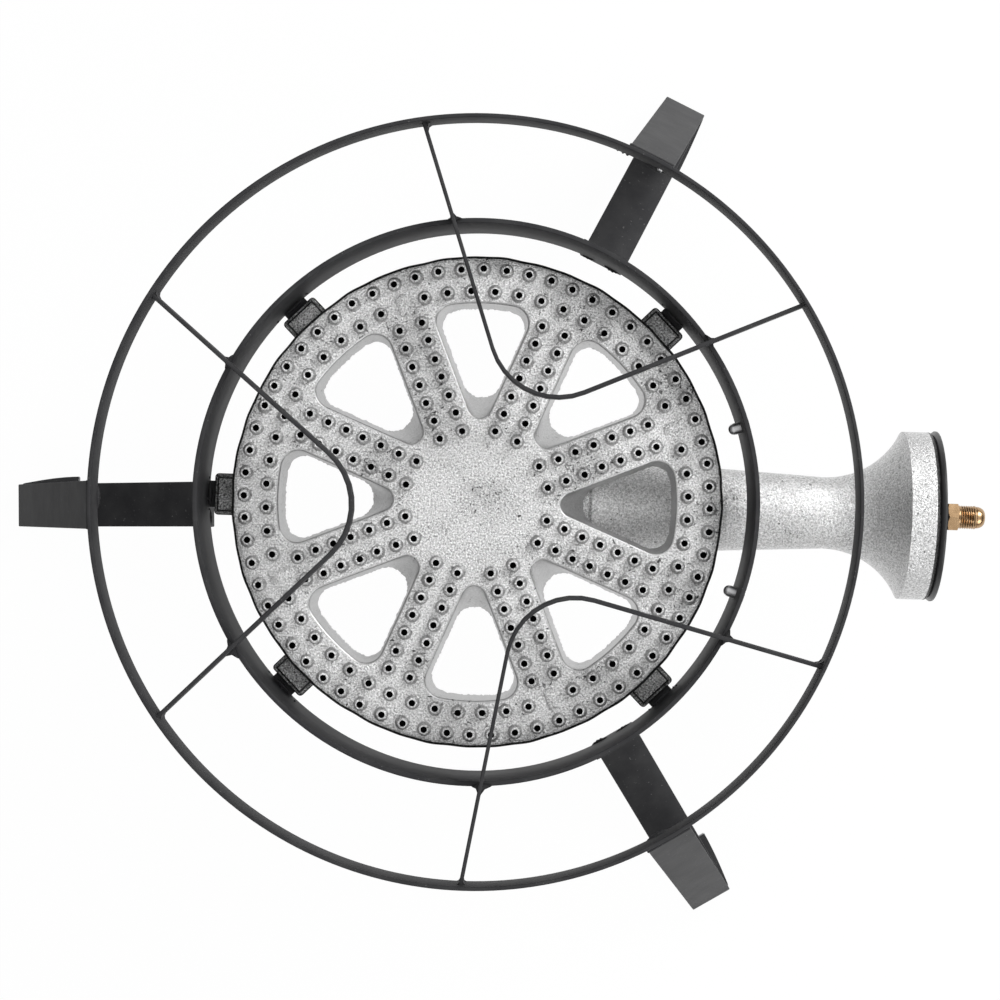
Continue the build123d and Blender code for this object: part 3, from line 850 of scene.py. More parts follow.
def ray_frame(window, half_angle, inner_r, outer_r):
    """Where rays from the window's middle through its edge points meet the slice, as (angle, radius)."""
    angle, radius = polar(window)
    middle = (radius.min() + radius.max()) / 2
    rise = radius - middle
    with np.errstate(divide="ignore"):
        sideways = half_angle / abs(angle)
        updown = np.where(rise > 0, outer_r - middle, middle - inner_r) / abs(rise)
    stretch = np.minimum(sideways, updown)
    edge = np.column_stack([angle * stretch, middle + rise * stretch])
    for corner in np.array([[-1, inner_r], [1, inner_r], [1, outer_r], [-1, outer_r]]) * (half_angle, 1):
        nearest = np.argmin(np.hypot((edge[:, 0] - corner[0]) * middle, edge[:, 1] - corner[1]))
        edge[nearest] = corner
    return edge


def windowed_face(window, edge, height, rows):
    """Flat face between a window and the edge of its slice, blended in angle and radius."""
    share = np.linspace(0, 1, rows)[:, None, None]
    angle, radius = np.moveaxis((1 - share) * np.column_stack(polar(window)) + share * edge, -1, 0)
    return round_points(radius, angle, height)


def angles_at(edge, radius):
    """Angles at which a slice's points lie on a circle, in order."""
    return np.sort(edge[np.isclose(edge[:, 1], radius), 0])


def rim_face(angles, radius, height):
    """Rim of a slice: a profile of radius and height carried round the given angles."""
    return round_points(np.asarray(radius)[:, None], angles, np.asarray(height)[:, None])


print("the point (0, 2) as angle and radius", *polar(np.array([[0.0, 2.0]])))

# %% [markdown]
# ## The burner's head
# The head is a wheel with eight spokes. Its windows are as wide as the spokes leave them, with a round
# inner end, and they narrow downwards because the sand mould needed draft. An outline of lines and
# arcs follows from a few sizes, and the same function serves at every depth, so the draft is only a
# change of those sizes.

# %% Windows of the head
SPOKES = 8
SPOKE_WIDTH = 26.0
SPOKE_DRAFT = 1.8
WINDOW_INNER = 44.0
WINDOW_OUTER = 103.4
WINDOW_CORNER = 9.0
HUB_FLARE = 12.0
OUTER_DRAFT = 0.4
NOSE_POINTS = 18
SIDE_POINTS = 30
CORNER_POINTS = 14
ARC_POINTS = 22
half_slice = np.pi / SPOKES


def arc(centre, radius, angles):
    """Points of a circle's arc at the given angles."""
    return centre + radius * np.column_stack([np.cos(angles), np.sin(angles)])


def window_edge(half_spoke, inner_r, outer_r, corner):
    """Window outline: round nose, sides along the spokes, rounded corners and an arc about the hub."""
    nose_x = (inner_r - half_spoke) / (1 - np.sin(half_slice))
    reach = np.sqrt((outer_r - corner) ** 2 - (half_spoke + corner) ** 2)
    spoke = np.array([np.cos(half_slice), np.sin(half_slice)])
    inward = np.array([np.sin(half_slice), -np.cos(half_slice)])
    centre = reach * spoke + (half_spoke + corner) * inward
    lean = np.pi / 2 + half_slice
    far = np.arctan2(centre[1], centre[0])
    nose = arc((nose_x, 0), nose_x - inner_r, np.linspace(np.pi, lean, NOSE_POINTS))
    bend = arc(centre, corner, np.linspace(lean, far, CORNER_POINTS))
    rim = arc((0, 0), outer_r, np.linspace(far, 0, ARC_POINTS)[1:])
    side = np.linspace(nose[-1], bend[0], SIDE_POINTS)[1:-1]
    half = np.concatenate([nose, side, bend, rim])
    return np.concatenate([half, half[-2:0:-1] * (1, -1)])


def window_at(depth, grow=0.0):
    """Window outline at a share of the head's depth, widened all round by grow."""
    return window_edge(
        SPOKE_WIDTH / 2 + SPOKE_DRAFT * depth - grow,
        WINDOW_INNER + HUB_FLARE * depth - grow,
        WINDOW_OUTER - OUTER_DRAFT * depth + grow,
        WINDOW_CORNER + grow,
    )


print("window points", len(window_at(0)))

# %% [markdown]
# A window's wall starts with a rounded edge and ends at the ragged flash that the mould left. The rim
# has an eased top edge and a rounded lower one. A Displace modifier could roughen both, but it would
# tear them off the flat faces. Here a random draw moves only the wall's last row, which the underside
# follows, and a few sines make the rim wobble between its first and its last row.

# %% Walls and rim
HEAD_R = 128.0
HEAD_DEPTH = 34.0
HEAD_DRAFT = 2.0
PORT_HEIGHT = 4.0
WINDOW_ROUND = 1.2
FLASH = 0.2
UNDER_ROUND = 6.0
RIM_ROUND = np.array([3.4, 2.4])
RIM_UNSHADED_ROWS = 3
RIM_WOBBLE = 0.12
RIM_WAVES = ((13, 0), (29, 2), (47, 1))
RIM_STEPS = 6
EDGE_ROWS = 5
WALL_SHARES = np.linspace(0.1, 1, 7)
# The rim finish is near black as painted shade; the wall finish's darker tone is painted shade too.
TOP, SHADED_WALL, LUG, RIM_SHADE = range(4)
head_finishes = [silver_casting, silver_wall_smooth_shaded, silver_lug, silver_rim_shade]
head_low, head_high = span("burner_head")
head_top = head_high[2] - PORT_HEIGHT
head_bottom = head_top - HEAD_DEPTH


def head_wall():
    """Window wall: a quarter-round edge, then draft down to a ragged lower edge."""
    quarter = np.linspace(0, np.pi / 2, EDGE_ROWS)
    edges = [window_at(0, grow) for grow in WINDOW_ROUND * (1 - np.sin(quarter))]
    edges = np.array(edges + [window_at(share) for share in WALL_SHARES])
    edges[-1] += np.random.default_rng(3).normal(0, FLASH, edges[-1].shape)
    fall = np.concatenate([WINDOW_ROUND * (1 - np.cos(quarter)), HEAD_DEPTH * WALL_SHARES])
    height = np.broadcast_to((head_top - fall)[:, None, None], (*edges.shape[:2], 1))
    return np.concatenate([edges, height], axis=-1)


def rim_profile():
    """Rim of the head: eased top edge, drafted side and rounded lower edge, as radius and height."""
    quarter = np.linspace(0, np.pi / 2, RIM_STEPS)
    ease_r = HEAD_R - RIM_ROUND[0] * (1 - np.sin(quarter))
    ease_z = head_top - RIM_ROUND[1] * (1 - np.cos(quarter))
    under_r = HEAD_R - HEAD_DRAFT - UNDER_ROUND * (1 - np.cos(quarter))
    under_z = head_bottom + UNDER_ROUND * (1 - np.sin(quarter))
    return np.concatenate([ease_r, under_r]), np.concatenate([ease_z, under_z])


def head_rim(angles):
    """Rim all round: three sines make it wobble between its first and last rows; past its first rows the
    rim takes the near-black finish, painted shade along its edge."""
    radius, height = rim_profile()
    wave = sum(np.sin(count * angles + start) for count, start in RIM_WAVES)
    free = np.ones((len(radius), 1))
    free[[0, -1]] = 0
    rim = rim_face(angles, radius, height)
    rim[..., :2] *= (1 + RIM_WOBBLE / HEAD_R * free * wave)[..., None]
    # Past the first rows the rim is painted near black: painted shade.
    bright, dark = rim[:RIM_UNSHADED_ROWS], rim[RIM_UNSHADED_ROWS - 1 :]
    return [grid(bright, close_columns=True), grid(dark, close_columns=True, finish=RIM_SHADE)]


print("rim points", len(rim_profile()[0]), "wall rows", len(head_wall()))

# %% [markdown]
# The top face, the walls, the rim and the underside could be pieces of their own, but seams would show.
# They share their edge points instead, so that each slice closes on its neighbours and the wheel is one
# skin. One slice is worked out and turned eight times.

# %% Wheel of the head
TOP_ROWS = 8
UNDER_ROWS = 4


def head_wheel():
    """The wheel: eight slices and one rim round them."""
    wall = head_wall()
    radius, _ = rim_profile()
    edge = ray_frame(wall[0, :, :2], half_slice, 0.0, radius[0])
    low_edge = edge * (1, radius[-1] / radius[0])
    top = windowed_face(wall[0, :, :2], edge, head_top, TOP_ROWS)
    under = windowed_face(wall[-1, :, :2], low_edge, head_bottom, UNDER_ROWS)
    turns = np.arange(SPOKES) * 360 / SPOKES
    grids = head_rim(np.add.outer(np.radians(turns), angles_at(edge, radius[0])[:-1]).ravel())
    for turn in turns:
        for part, finish in ((top, TOP), (wall, SHADED_WALL), (under, TOP)):
            grids.append(swung(part, turn, finish))
    return grids


head_grids = head_wheel()
print("skins of the wheel", len(head_grids))

# %% [markdown]
# Under the hub hangs a bowl that takes the gas from the tube and feeds the spokes, and a round socket
# holds the tube. Both are turned shapes. The bowl lies against the wheel's underside and the socket
# starts inside the bowl. A Boolean could join them, but would gain nothing, since the faces that meet
# are hidden, so each stays a closed skin.

# %% Bowl and socket
HUB_FLOOR = 28.0
BOWL_COLUMNS = 96
BOWL_ROWS = 16
SOCKET_R = 26.0
SOCKET_END = 60.0
SOCKET_CHAMFER = 1.0
tube_low, tube_high = span("mixer_tube")
tube_z = (tube_low[2] + tube_high[2]) / 2


def turned(*parts, ring=True):
    """Shape turned about the tube's axis; a ring joins its last row of (along, radius) to its first."""
    return grid(about_x(*turned_rows(*parts), tube_z), close_rows=ring, close_columns=True)


def hub_bowl():
    """Bowl: an arc that leaves the head upright and ends at the flat floor, turned about the hub."""
    top_r = WINDOW_INNER + HUB_FLARE
    fall = head_bottom - head_low[2]
    middle = (top_r**2 - HUB_FLOOR**2 - fall**2) / (2 * (top_r - HUB_FLOOR))
    arc_r = top_r - middle
    swing = np.linspace(0, np.arcsin(fall / arc_r), BOWL_ROWS)
    radius = np.concatenate([[0], middle + arc_r * np.cos(swing), [0]])
    height = np.concatenate([[head_bottom], head_bottom - arc_r * np.sin(swing), [head_low[2]]])
    turns = np.linspace(0, 2 * np.pi, BOWL_COLUMNS, endpoint=False)
    return grid(rim_face(turns, radius, height), close_columns=True)


def tube_socket():
    """Round socket that leaves the bowl along the tube, with an eased mouth."""
    along = [0.0, 0.0, SOCKET_END - SOCKET_CHAMFER, SOCKET_END, SOCKET_END]
    return turned((along, [0.0, SOCKET_R, SOCKET_R, SOCKET_R - SOCKET_CHAMFER, 0.0]), ring=False)


head_grids += [hub_bowl(), tube_socket()]
print("bowl depth", round(head_bottom - head_low[2], 1), "mm")

# %% [markdown]
# Lugs on the rim lie on the band's seats, and low pads mark four places without a port. Both are blocks
# on a rounded rectangle. A cube with a Bevel modifier comes close, but it can't draw the sides in by
# steps, as the lug does at the line where the mould was parted.

# %% Lugs and pads
LUG_WIDTH = 22.0
LUG_REACH = 11.2
LUG_ROOT = 5.5
LUG_CORNER = 2.0
LUG_STEPS = ((0, 0.8), (0.8, 0), (3.3, 0), (3.6, 0.6), (4, 1.8), (7.2, 1.9), (8, 2.8))
LUG_CUTS = ((0, 5), (4, 6), (5, 8), (7, 9))
LEAST_CORNER = 0.2
PAD_SIZE = np.array([11.0, 5.5])
PAD_CORNER = 0.8
PAD_STEPS = ((-0.3, 0), (0.6, 0.1), (0.9, 0.5))
PADS = 4
INNER_ROW_R = 109.5


def raised_block(radius, size, corner, steps, base):
    """Block on a rounded rectangle at a radius: a step is a height and how far the sides are drawn in."""
    outlines = [flat_bar(*(size - 2 * inset), max(corner - inset, LEAST_CORNER)) for _, inset in steps]
    plan = np.stack([0 * outlines[0], *outlines, 0 * outlines[-1]])
    level = base + np.array([steps[0][0], *[height for height, _ in steps], steps[-1][0]])
    height = np.broadcast_to(level[:, None], plan.shape[:2])
    return np.stack([radius + plan[..., 0], plan[..., 1], height], axis=-1)


def lug(angle):
    """Lug: a block that draws in at half its height, where the mould was parted; sides are painted shade.
    """
    inner, outer = HEAD_R - HEAD_DRAFT - LUG_ROOT, HEAD_R + LUG_REACH
    size = np.array([outer - inner, LUG_WIDTH])
    block = raised_block((inner + outer) / 2, size, LUG_CORNER, LUG_STEPS, band_low[2] + SEAT_STRIP)
    # The lug's sides take the near-black rim finish as painted shade.
    parts = zip(LUG_CUTS, (RIM_SHADE, LUG, RIM_SHADE, LUG))
    return [swung(block[slice(*cut)], angle, finish) for cut, finish in parts]


def blank_pad(angle):
    """Low pad in a port's place."""
    block = raised_block(INNER_ROW_R, PAD_SIZE, PAD_CORNER, PAD_STEPS, head_top)
    return swung(block, angle)


head_grids += [part for angle in LUG_ANGLES for part in lug(angle)]
head_grids += [blank_pad(np.degrees(half_slice) + 360 / PADS * i) for i in range(PADS)]
make_piece("cast_head", head_grids, head_finishes, ["burner_head"])

# %% [markdown]
# ## Flame ports
# Each port is a little volcano with a drilled hole: a skirt darker as painted shade, a bright lip and a
# bore near black with soot and painted shade. Copies of one object would all look stamped. All 228
# share one profile turned about its own axis, so one array of places plus one array of shapes gives
# them all, with a small spread in height and lean.

# %% Ports
PORT_COLUMNS = 10
SKIRT = np.array([[4.2, 3.6, 3.0], [-0.3, 0.4, 3.2]])
LIP = np.array([[3.0, 2.7, 2.3, 1.75], [3.2, 3.75, 3.95, 3.8]])
BORE = np.array([[1.75, 1.6, 0.0], [3.8, 0.4, 0.4]])
OUTER_ROW_R = 121.0
OUTER_ROW = 64
INNER_ROW = 56
SPOKE_ROW_OFFSET = 6.2
SPOKE_ROW_START = 37.3
SPOKE_ROW_PITCH = 10.0
SPOKE_ROW = 7
HEIGHT_SPREAD = 0.06
HEIGHT_RANGE = (0.86, 1.0)
LEAN = 0.25


def port_places():
    """Plan points of the ports: two rows round the rim and two along each spoke."""
    outer = OUTER_ROW_R * np.exp(2j * np.pi * np.arange(OUTER_ROW) / OUTER_ROW)
    step = np.arange(INNER_ROW)
    step = step[step % (INNER_ROW // PADS) > 0]
    inner = INNER_ROW_R * np.exp(1j * (half_slice + 2 * np.pi * step / INNER_ROW))
    along = SPOKE_ROW_START + SPOKE_ROW_PITCH * np.arange(SPOKE_ROW)
    pair = np.add.outer(along, 1j * SPOKE_ROW_OFFSET * np.array([-1, 1])).ravel()
    spokes = np.outer(np.exp(1j * half_slice * (1 + 2 * np.arange(SPOKES))), pair).ravel()
    return np.concatenate([outer, inner, spokes])


def port_grids():
    """Ports as three grids each: profiles of radius and height turned about every place."""
    places = port_places()
    spread = np.random.default_rng(7)
    turns = np.exp(2j * np.pi * np.arange(PORT_COLUMNS) / PORT_COLUMNS)
    tall = spread.normal(1, HEIGHT_SPREAD, (len(places), 1, 1)).clip(*HEIGHT_RANGE)
    lean = LEAN * (spread.normal(0, 1, len(places)) + 1j * spread.normal(0, 1, len(places)))
    grids = []
    for finish, (radius, height) in enumerate((SKIRT, LIP, BORE)):
        level = np.broadcast_to(height[:, None] * tall, (len(places), len(radius), PORT_COLUMNS))
        drift = lean[:, None, None] * level / PORT_HEIGHT
        plan = places[:, None, None] + radius[:, None] * turns + drift
        points = np.stack([plan.real, plan.imag, head_top + level], axis=-1)
        grids += [grid(port, close_columns=True, finish=finish) for port in points]
    return grids


print("ports", len(port_places()))
# Skirts take a darker finish as painted shade, bores a near-black one for soot and painted shade.
port_finishes = [silver_skirt_shade, silver_casting, soot_and_shade]
make_piece("flame_ports", port_grids(), port_finishes, crease=50)

# %% [markdown]
# ## Mixer tube
# The tube is one casting: a long taper, a throat and a bell that flares along an arc. The Spin tool
# would turn its profile, but turned rows do the same and stay a formula. The mouth's edge and the
# inside of the bell take the near-black finish as painted shade.

# %% Tube
THROAT_X = 187.0
THROAT_R = 19.4
TUBE_WALL = 4.0
FLARE_R = 46.0
FLARE_STEPS = 28
RIM_EDGE = 0.8
# Length of the dark band of painted shade at the mouth, in millimetres.
MOUTH_SHADE = 1.8
bell_r = (tube_high[2] - tube_low[2]) / 2
mouth_x = tube_high[0]


def flare(offset, end_r):
    """Arc of the bell from the throat, offset towards the axis: along and radius."""
    radius = FLARE_R + offset
    centre = THROAT_R + FLARE_R
    swing = np.linspace(0, np.arccos((centre - end_r) / radius), FLARE_STEPS)
    return THROAT_X + radius * np.sin(swing), centre - radius * np.cos(swing)


def tube_rows():
    """Outside from the socket to the bell's mouth, then the inside back to the bore's end."""
    outer = np.transpose(flare(0, bell_r))
    inner = np.transpose(flare(TUBE_WALL, bell_r - TUBE_WALL))
    bore = THROAT_R - TUBE_WALL
    start = [(SOCKET_END, bore), (SOCKET_END, SOCKET_R - RIM_EDGE), (SOCKET_END + RIM_EDGE, SOCKET_R)]
    rim = [(mouth_x - MOUTH_SHADE, bell_r), (mouth_x - RIM_EDGE, bell_r)]
    mouth = [*rim, (mouth_x, bell_r - RIM_EDGE), (mouth_x, bell_r - TUBE_WALL)]
    return turned_rows(np.transpose([*start, *outer, *mouth, *inner[::-1], (SOCKET_END, bore)]))


along, radius = tube_rows()
# From this row on, the mouth's edge and the inside are painted near black as shade.
mouth_shade_start = np.argmax(along[:, 0] >= mouth_x - MOUTH_SHADE)
tube_skin = about_x(along, radius, tube_z)
painted = grid(tube_skin[: mouth_shade_start + 1], close_columns=True)
tube = [painted, grid(tube_skin[mouth_shade_start:], close_columns=True, finish=1)]
print("tube rows", len(along))

# %% [markdown]
# The bell's mouth is closed by a web with three air windows round a boss, which carries the gas
# fitting. Web and shutter are the same kind of plate, so one function makes both: a windowed face, its
# twin on the other side and the edges between them. Extruding a face would do the same by hand.

# %% Web and boss
AIR_WINDOWS = 3
AIR_HALF = np.radians(30.0)
AIR_INNER = 15.0
AIR_OUTER = 36.0
AIR_CORNER = 2.5
AIR_STEPS = 8
PLATE_ROWS = 5
WEB = 6.0
BOSS_R = 11.0
BOSS_LENGTH = 14.0
BOSS_CHAMFER = 1.0
SHANK_R = 4.8


def air_window():
    """Air window: a rounded rectangle in arc length and radius, bent round the axis."""
    middle = (AIR_INNER + AIR_OUTER) / 2
    box = flat_bar(2 * AIR_HALF * middle, AIR_OUTER - AIR_INNER, AIR_CORNER)
    share = np.linspace(0, 1, AIR_STEPS, endpoint=False)[:, None, None]
    box = np.swapaxes((1 - share) * box + share * np.roll(box, -1, axis=0), 0, 1).reshape(-1, 2)
    angle, radius = box[:, 0] / middle, middle + box[:, 1]
    return np.column_stack([radius * np.cos(angle), radius * np.sin(angle)])


def windowed_plate(hole_r, outer_r, start, thickness):
    """Round plate across the tube with air windows and a hole for the shank: both faces and all edges."""
    window = air_window()
    edge = ray_frame(window, np.pi / AIR_WINDOWS, hole_r, outer_r)
    sides = [0.0, thickness]
    front, back = [windowed_face(window, edge, height, PLATE_ROWS) for height in sides]
    closed = [front, back, np.stack([front[0], back[0]])]
    parts = closed + [rim_face(angles_at(edge, r), [r, r], sides) for r in (outer_r, hole_r)]
    grids = []
    for turn in 90 + np.arange(AIR_WINDOWS) * 360 / AIR_WINDOWS:
        for number, part in enumerate(parts):
            flat = turn_about_z(part, turn)
            upright = np.stack([start + flat[..., 2], flat[..., 0], tube_z + flat[..., 1]], axis=-1)
            grids.append(grid(upright, close_columns=number < len(closed)))
    return grids


boss_x, web_x = mouth_x - BOSS_LENGTH, mouth_x - WEB
boss_along = [boss_x, boss_x, boss_x + BOSS_CHAMFER, web_x, web_x]
boss = turned((boss_along, [SHANK_R, BOSS_R - BOSS_CHAMFER, BOSS_R, BOSS_R, SHANK_R]))
web = windowed_plate(SHANK_R, bell_r - TUBE_WALL, web_x, WEB)
tube_finishes = [silver_tube, silver_rim_shade]
make_piece("cast_tube", [*tube, boss, *web], tube_finishes, ["mixer_tube"])

# %% [markdown]
# ## Air shutter
# The shutter is a pressed disc with the same windows and a rim turned outwards. It turns on the
# fitting's shank to open or close the windows, so it rides on a body of its own, and its hole keeps
# some play. A Solidify modifier could thicken a sheet, but both sides of the bend are easy to state.

# %% Shutter
SHUTTER_SHEET = 1.5
SHUTTER_TRIM = 2.4
SHUTTER_PLAY = 0.08
FLANGE_STEPS = 6
ROLL_STEPS = 7
shutter_low, shutter_high = span("air_shutter")
shutter_x = shutter_low[0]
shutter_r = (shutter_high[2] - shutter_low[2]) / 2
shutter_end = shutter_high[0] - SHUTTER_TRIM


def shutter_flange():
    """Rim of the shutter: the sheet bends from the disc to a short cylinder, with a rolled edge."""
    swing = np.linspace(0, np.pi / 2, FLANGE_STEPS)
    roll = np.linspace(0, np.pi, ROLL_STEPS)
    bend = 2 * SHUTTER_SHEET
    out_x = shutter_x + bend * (1 - np.cos(swing))
    out_r = shutter_r - bend * (1 - np.sin(swing))
    in_x = shutter_x + bend - (bend - SHUTTER_SHEET) * np.cos(swing)
    in_r = shutter_r - bend + (bend - SHUTTER_SHEET) * np.sin(swing)
    lip_x = shutter_end - SHUTTER_SHEET / 2 * (1 - np.sin(roll))
    lip_r = shutter_r - SHUTTER_SHEET / 2 * (1 - np.cos(roll))
    return np.concatenate([out_x, lip_x, in_x[::-1]]), np.concatenate([out_r, lip_r, in_r[::-1]])


disc_r = shutter_r - 2 * SHUTTER_SHEET
disc = windowed_plate(SHANK_R + SHUTTER_PLAY, disc_r, shutter_x, SHUTTER_SHEET)
flange = turned(shutter_flange())
make_piece("shutter_disc", [*disc, flange], [enamel], ["air_shutter"], body="shutter")

# %% [markdown]
# ## Washer and lock nut
# They hold the shutter on the shank. Parts from a hardware library would come in their own sizes, so
# these are turned here and take their places from the model. One function gives the nut's hexagon and
# the bolts' heads.

# %% Washer and lock nut
WASHER_EASE = 0.3
WASHER_PLAY = 0.2
NUT_FLATS = 15.0
washer_low, washer_high = span("shutter_washer")
nut_low, nut_high = span("lock_nut")


def washer():
    """Flat washer with eased edges."""
    start, end, outer = washer_low[0], washer_high[0], (washer_high[2] - washer_low[2]) / 2
    hole, eased = SHANK_R + WASHER_PLAY, outer - WASHER_EASE
    along = [start, start, start + WASHER_EASE, end - WASHER_EASE, end, end]
    return turned((along, [hole, eased, outer, outer, eased, hole]))


def lock_nut():
    """Hexagon nut on the shank."""
    start, end = nut_low[0], nut_high[0]
    return turned(([start], [SHANK_R]), hex_block(NUT_FLATS, start, end - start), ([end], [SHANK_R]))


make_piece("washer_ring", [washer()], [zinc], ["shutter_washer"])
make_piece("lock_nut_hexagon", [lock_nut()], [dark_steel], ["lock_nut"])

# %% [markdown]
# ## Gas fitting and jet
# The gas line screws onto the fitting, whose nose is the dome that seals a flared pipe, and the jet
# shoots the gas into the tube. Both are one profile each, from the bore round the outside and back, so
# that hexagon, thread and dome join without a seam. Separate solids pushed together would show gaps.

# %% Gas fitting and jet
FITTING_FLATS = 14.3
FITTING_HEX = 6.0
FLARE_THREAD_R = 6.35
FLARE_PITCH = 1.27
FLARE_THREAD = 9.2
NECK_R = 5.4
NECK = 0.8
NECK_EASE = 0.2
NOSE_R = 5.9
NOSE_STEPS = 9
BORE_R = 2.4
JET_FLATS = 13.0
JET_HEX = 8.0
JET_NOSE_R = 2.5
JET_HOLE_R = 0.75
JET_HOLE = 3.0
fitting_low, fitting_high = span("gas_fitting")
jet_low, jet_high = span("gas_jet")


def gas_fitting():
    """Fitting: shank, hexagon, flare thread, neck, a nose that is a quarter of an ellipse, and the bore."""
    start, hex_x = fitting_low[0], nut_high[0]
    thread_x = hex_x + FITTING_HEX
    neck_x = thread_x + FLARE_THREAD
    seat_x = neck_x + NECK
    swing = np.linspace(0, np.pi / 2, NOSE_STEPS)
    nose_x = seat_x + (fitting_high[0] - seat_x) * np.sin(swing)
    return turned(
        ([start, start, hex_x], [BORE_R, SHANK_R, SHANK_R]),
        hex_block(FITTING_FLATS, hex_x, FITTING_HEX),
        thread(FLARE_THREAD_R, FLARE_PITCH, thread_x, FLARE_THREAD),
        ([neck_x, seat_x - NECK_EASE], [NECK_R, NECK_R]),
        (nose_x, BORE_R + (NOSE_R - BORE_R) * np.cos(swing)),
    )


def gas_jet():
    """Jet: tapered nose with a fine hole, and a hexagon on the shank's end."""
    start, end = jet_low[0], jet_high[0]
    return turned(
        ([start + JET_HOLE, start, start], [JET_HOLE_R, JET_HOLE_R, JET_NOSE_R]),
        hex_block(JET_FLATS, end - JET_HEX, JET_HEX),
        ([end], [SHANK_R]),
    )


make_piece("flare_fitting", [gas_fitting()], [brass], ["gas_fitting"], crease=30)
make_piece("jet_nozzle", [gas_jet()], [brass], ["gas_jet"])

# %% [markdown]
# ## Floor
# The burner stands on white paper that keeps a faint shadow. A lit white floor alone would come out
# grey, so to the eye most of it is a plain glow. In reflections it glows less, and it is dim on the
# left, as if a dark screen stood there.

# %% Floor
FLOOR_HALF = 20.0
FLOOR_DROP = 0.2
FIBRE = 2.0
SEEN_WHITE = 0.97
MIRRORED_WHITE = 0.8
DIM_LEFT = 0.3
DIM_SPAN = (-0.35, 0.0)


def floor_paper():
    """White paper: a share of glow that depends on the kind of ray, and the paper's own shading below."""
    finish, tree, shader, place = new_finish("white_paper")
    fibre = add(tree, "TexNoise", {"Vector": place, "Scale": per_metre(FIBRE)})
    tones = {0: fibre.outputs["Fac"], 6: linear("#f0f0f0"), 7: linear("#f6f6f6")}
    tone = add(tree, "Mix", tones, data_type="RGBA")
    connect(tree, shader, {"Base Color": tone.outputs[2], "Roughness": 0.9})
    path = add(tree, "LightPath", {})
    across = {"Value": add(tree, "SeparateXYZ", {0: place}).outputs["X"], "To Min": DIM_LEFT}
    dim = add(tree, "MapRange", {"From Min": DIM_SPAN[0], "From Max": DIM_SPAN[1], **across})
    bright = {0: path.outputs["Is Camera Ray"], 1: dim.outputs[0]}
    bright = add(tree, "Math", bright, operation="MAXIMUM")
    glow = add(tree, "Emission", {"Strength": bright.outputs[0]})
    mirror = {0: path.outputs["Is Glossy Ray"], 1: path.outputs["Is Transmission Ray"]}
    mirrored = add(tree, "Math", mirror, operation="ADD")
    soft = add(tree, "Math", {0: mirrored.outputs[0], 1: MIRRORED_WHITE}, operation="MULTIPLY")
    seen = {0: path.outputs["Is Camera Ray"], 1: SEEN_WHITE, 2: soft.outputs[0]}
    share = add(tree, "Math", seen, operation="MULTIPLY_ADD")
    both = add(tree, "MixShader", {0: share.outputs[0], 1: shader.outputs[0], 2: glow.outputs[0]})
    connect(tree, tree.nodes["Material Output"], {"Surface": both.outputs[0]})
    return finish


corners = np.array([[-1, -1], [1, -1], [1, 1], [-1, 1]]) * FLOOR_HALF / MM
floor_points = np.column_stack([corners, np.full(4, -FLOOR_DROP)])[[[0, 3], [1, 2]]]
floor = bpy.data.objects.new("floor", make_mesh("floor", [grid(floor_points)], [floor_paper()], 30))
bpy.context.scene.collection.objects.link(floor)
print("floor", 2 * FLOOR_HALF, "m wide")

# %% [markdown]
# ## Light
# The room is bright above and darker towards the horizon, which draws dark lines along bevelled edges.
# A picture of a real studio could light the scene, but a ramp of two greys can be written down. Two
# softboxes on the right add the shine along the tube.

# %% Room and lamps
ZENITH = "#fafafa"
HORIZON = "#303030"
BRIGHT_WAY = (-0.1, 0.35, 1.0)
BRIGHT_SPAN = (0.3, 0.9)
BOX_AIM = (0, 0, 0.15)
BOX_SIZE = 0.8


def studio_room():
    """World light: a ramp from the horizon's grey to the bright ceiling, which comes further down on
    both sides of the tube than at its ends."""
    world = bpy.data.worlds.new("studio_room")
    bpy.context.scene.world = world
    world.use_nodes = True
    tree = world.node_tree
    sky = {0: add(tree, "TexCoord", {}).outputs["Generated"]}
    way = add(tree, "VectorMath", sky, operation="ABSOLUTE")
    lean = {0: way.outputs["Vector"], 1: BRIGHT_WAY}
    height = {"Value": add(tree, "VectorMath", lean, operation="DOT_PRODUCT").outputs["Value"]}
    ramp = add(tree, "MapRange", {"From Min": BRIGHT_SPAN[0], "From Max": BRIGHT_SPAN[1], **height})
    tones = {0: ramp.outputs[0], 6: linear(HORIZON), 7: linear(ZENITH)}
    tone = add(tree, "Mix", tones, data_type="RGBA")
    connect(tree, tree.nodes["Background"], {"Color": tone.outputs[2]})


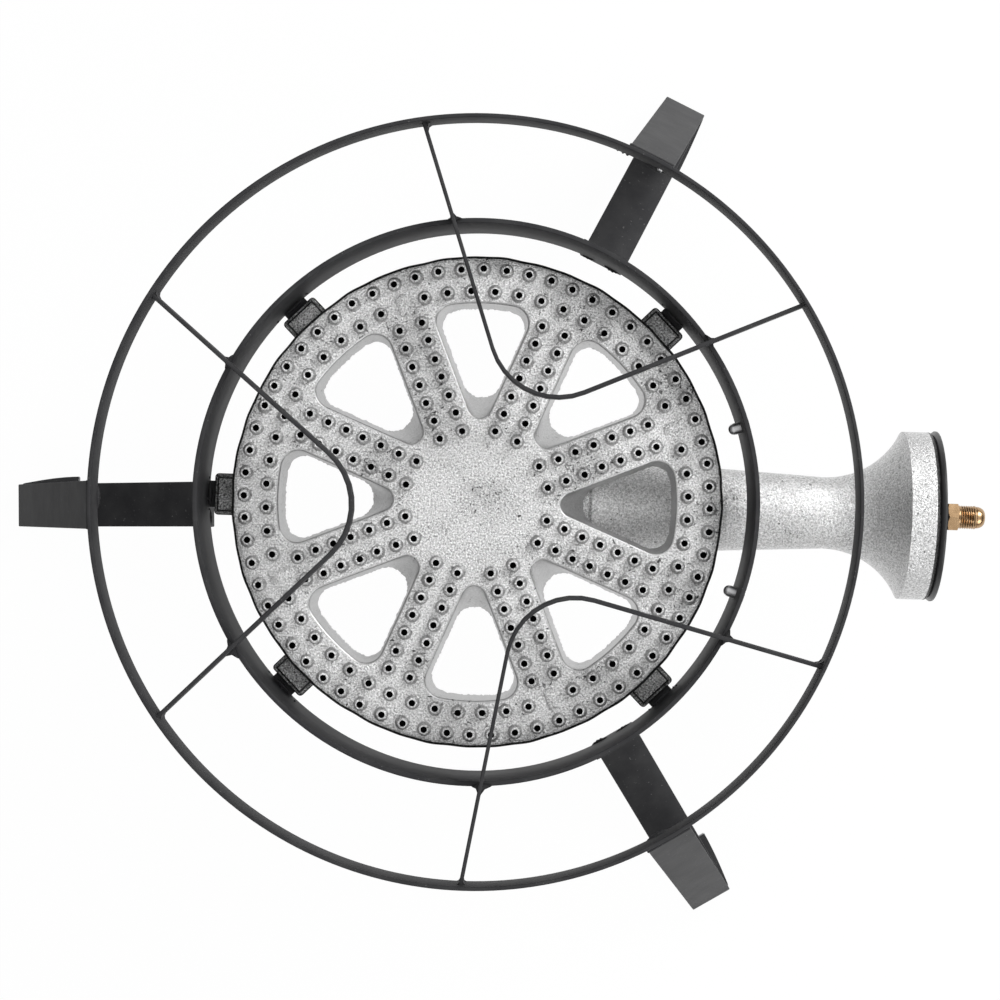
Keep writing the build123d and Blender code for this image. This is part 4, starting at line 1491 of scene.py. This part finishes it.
def softbox(name, place, power):
    """Square area light at a place, turned to its aim; metres and watts."""
    lamp = bpy.data.lights.new(name, "AREA")
    lamp.size = BOX_SIZE
    lamp.energy = power
    holder = bpy.data.objects.new(name, lamp)
    holder.location = place
    holder.rotation_euler = (Vector(BOX_AIM) - Vector(place)).to_track_quat("-Z", "Y").to_euler()
    bpy.context.scene.collection.objects.link(holder)


studio_room()
softbox("upper_softbox", (1.0, 0.9, 1.0), 17.0)
softbox("lower_softbox", (1.0, -0.9, 1.0), 8.0)

# %% [markdown]
# ## Camera
# The camera looks down from 1.4 m. The photograph gives the pixel right below it, where upright edges
# show no side, and the pixel of the ring's centre. With the focal length in pixels these fix its place
# and its slight tilt, which is surer than moving it by eye.

# %% Camera
PHOTO = 1000
FOCAL = 2370.0
SENSOR = 36.0
NADIR = np.array([535.0, 503.0])
RING_CENTRE = np.array([474.5, 502.0])
STAND_OFF = 1187.0
ROLL = np.radians(1.8)


def overhead_camera():
    """Camera over the point that lies right below it, tilted a little so that the frame fits."""
    right = np.array([np.cos(ROLL), np.sin(ROLL), 0])
    up = np.array([-np.sin(ROLL), np.cos(ROLL), 0])
    shift = (NADIR - RING_CENTRE) * STAND_OFF / FOCAL
    place = shift[0] * right - shift[1] * up + UP * (ring_high[2] + STAND_OFF)
    lean = (np.array([PHOTO / 2, PHOTO / 2]) - NADIR) / FOCAL
    back = UP - lean[0] * right + lean[1] * up
    back /= np.linalg.norm(back)
    sideways = right - (right @ back) * back
    sideways /= np.linalg.norm(sideways)
    matrix = np.column_stack([sideways, np.cross(back, sideways), back, place * MM])
    lens = bpy.data.cameras.new("overhead_camera")
    lens.sensor_width = SENSOR
    lens.lens = FOCAL * SENSOR / PHOTO
    camera = bpy.data.objects.new("overhead_camera", lens)
    camera.matrix_world = Matrix([*matrix.tolist(), [0, 0, 0, 1]])
    bpy.context.scene.collection.objects.link(camera)
    return camera


bpy.context.scene.camera = overhead_camera()
bpy.context.scene.view_settings.view_transform = "Standard"
print("camera", bpy.context.scene.camera.location)
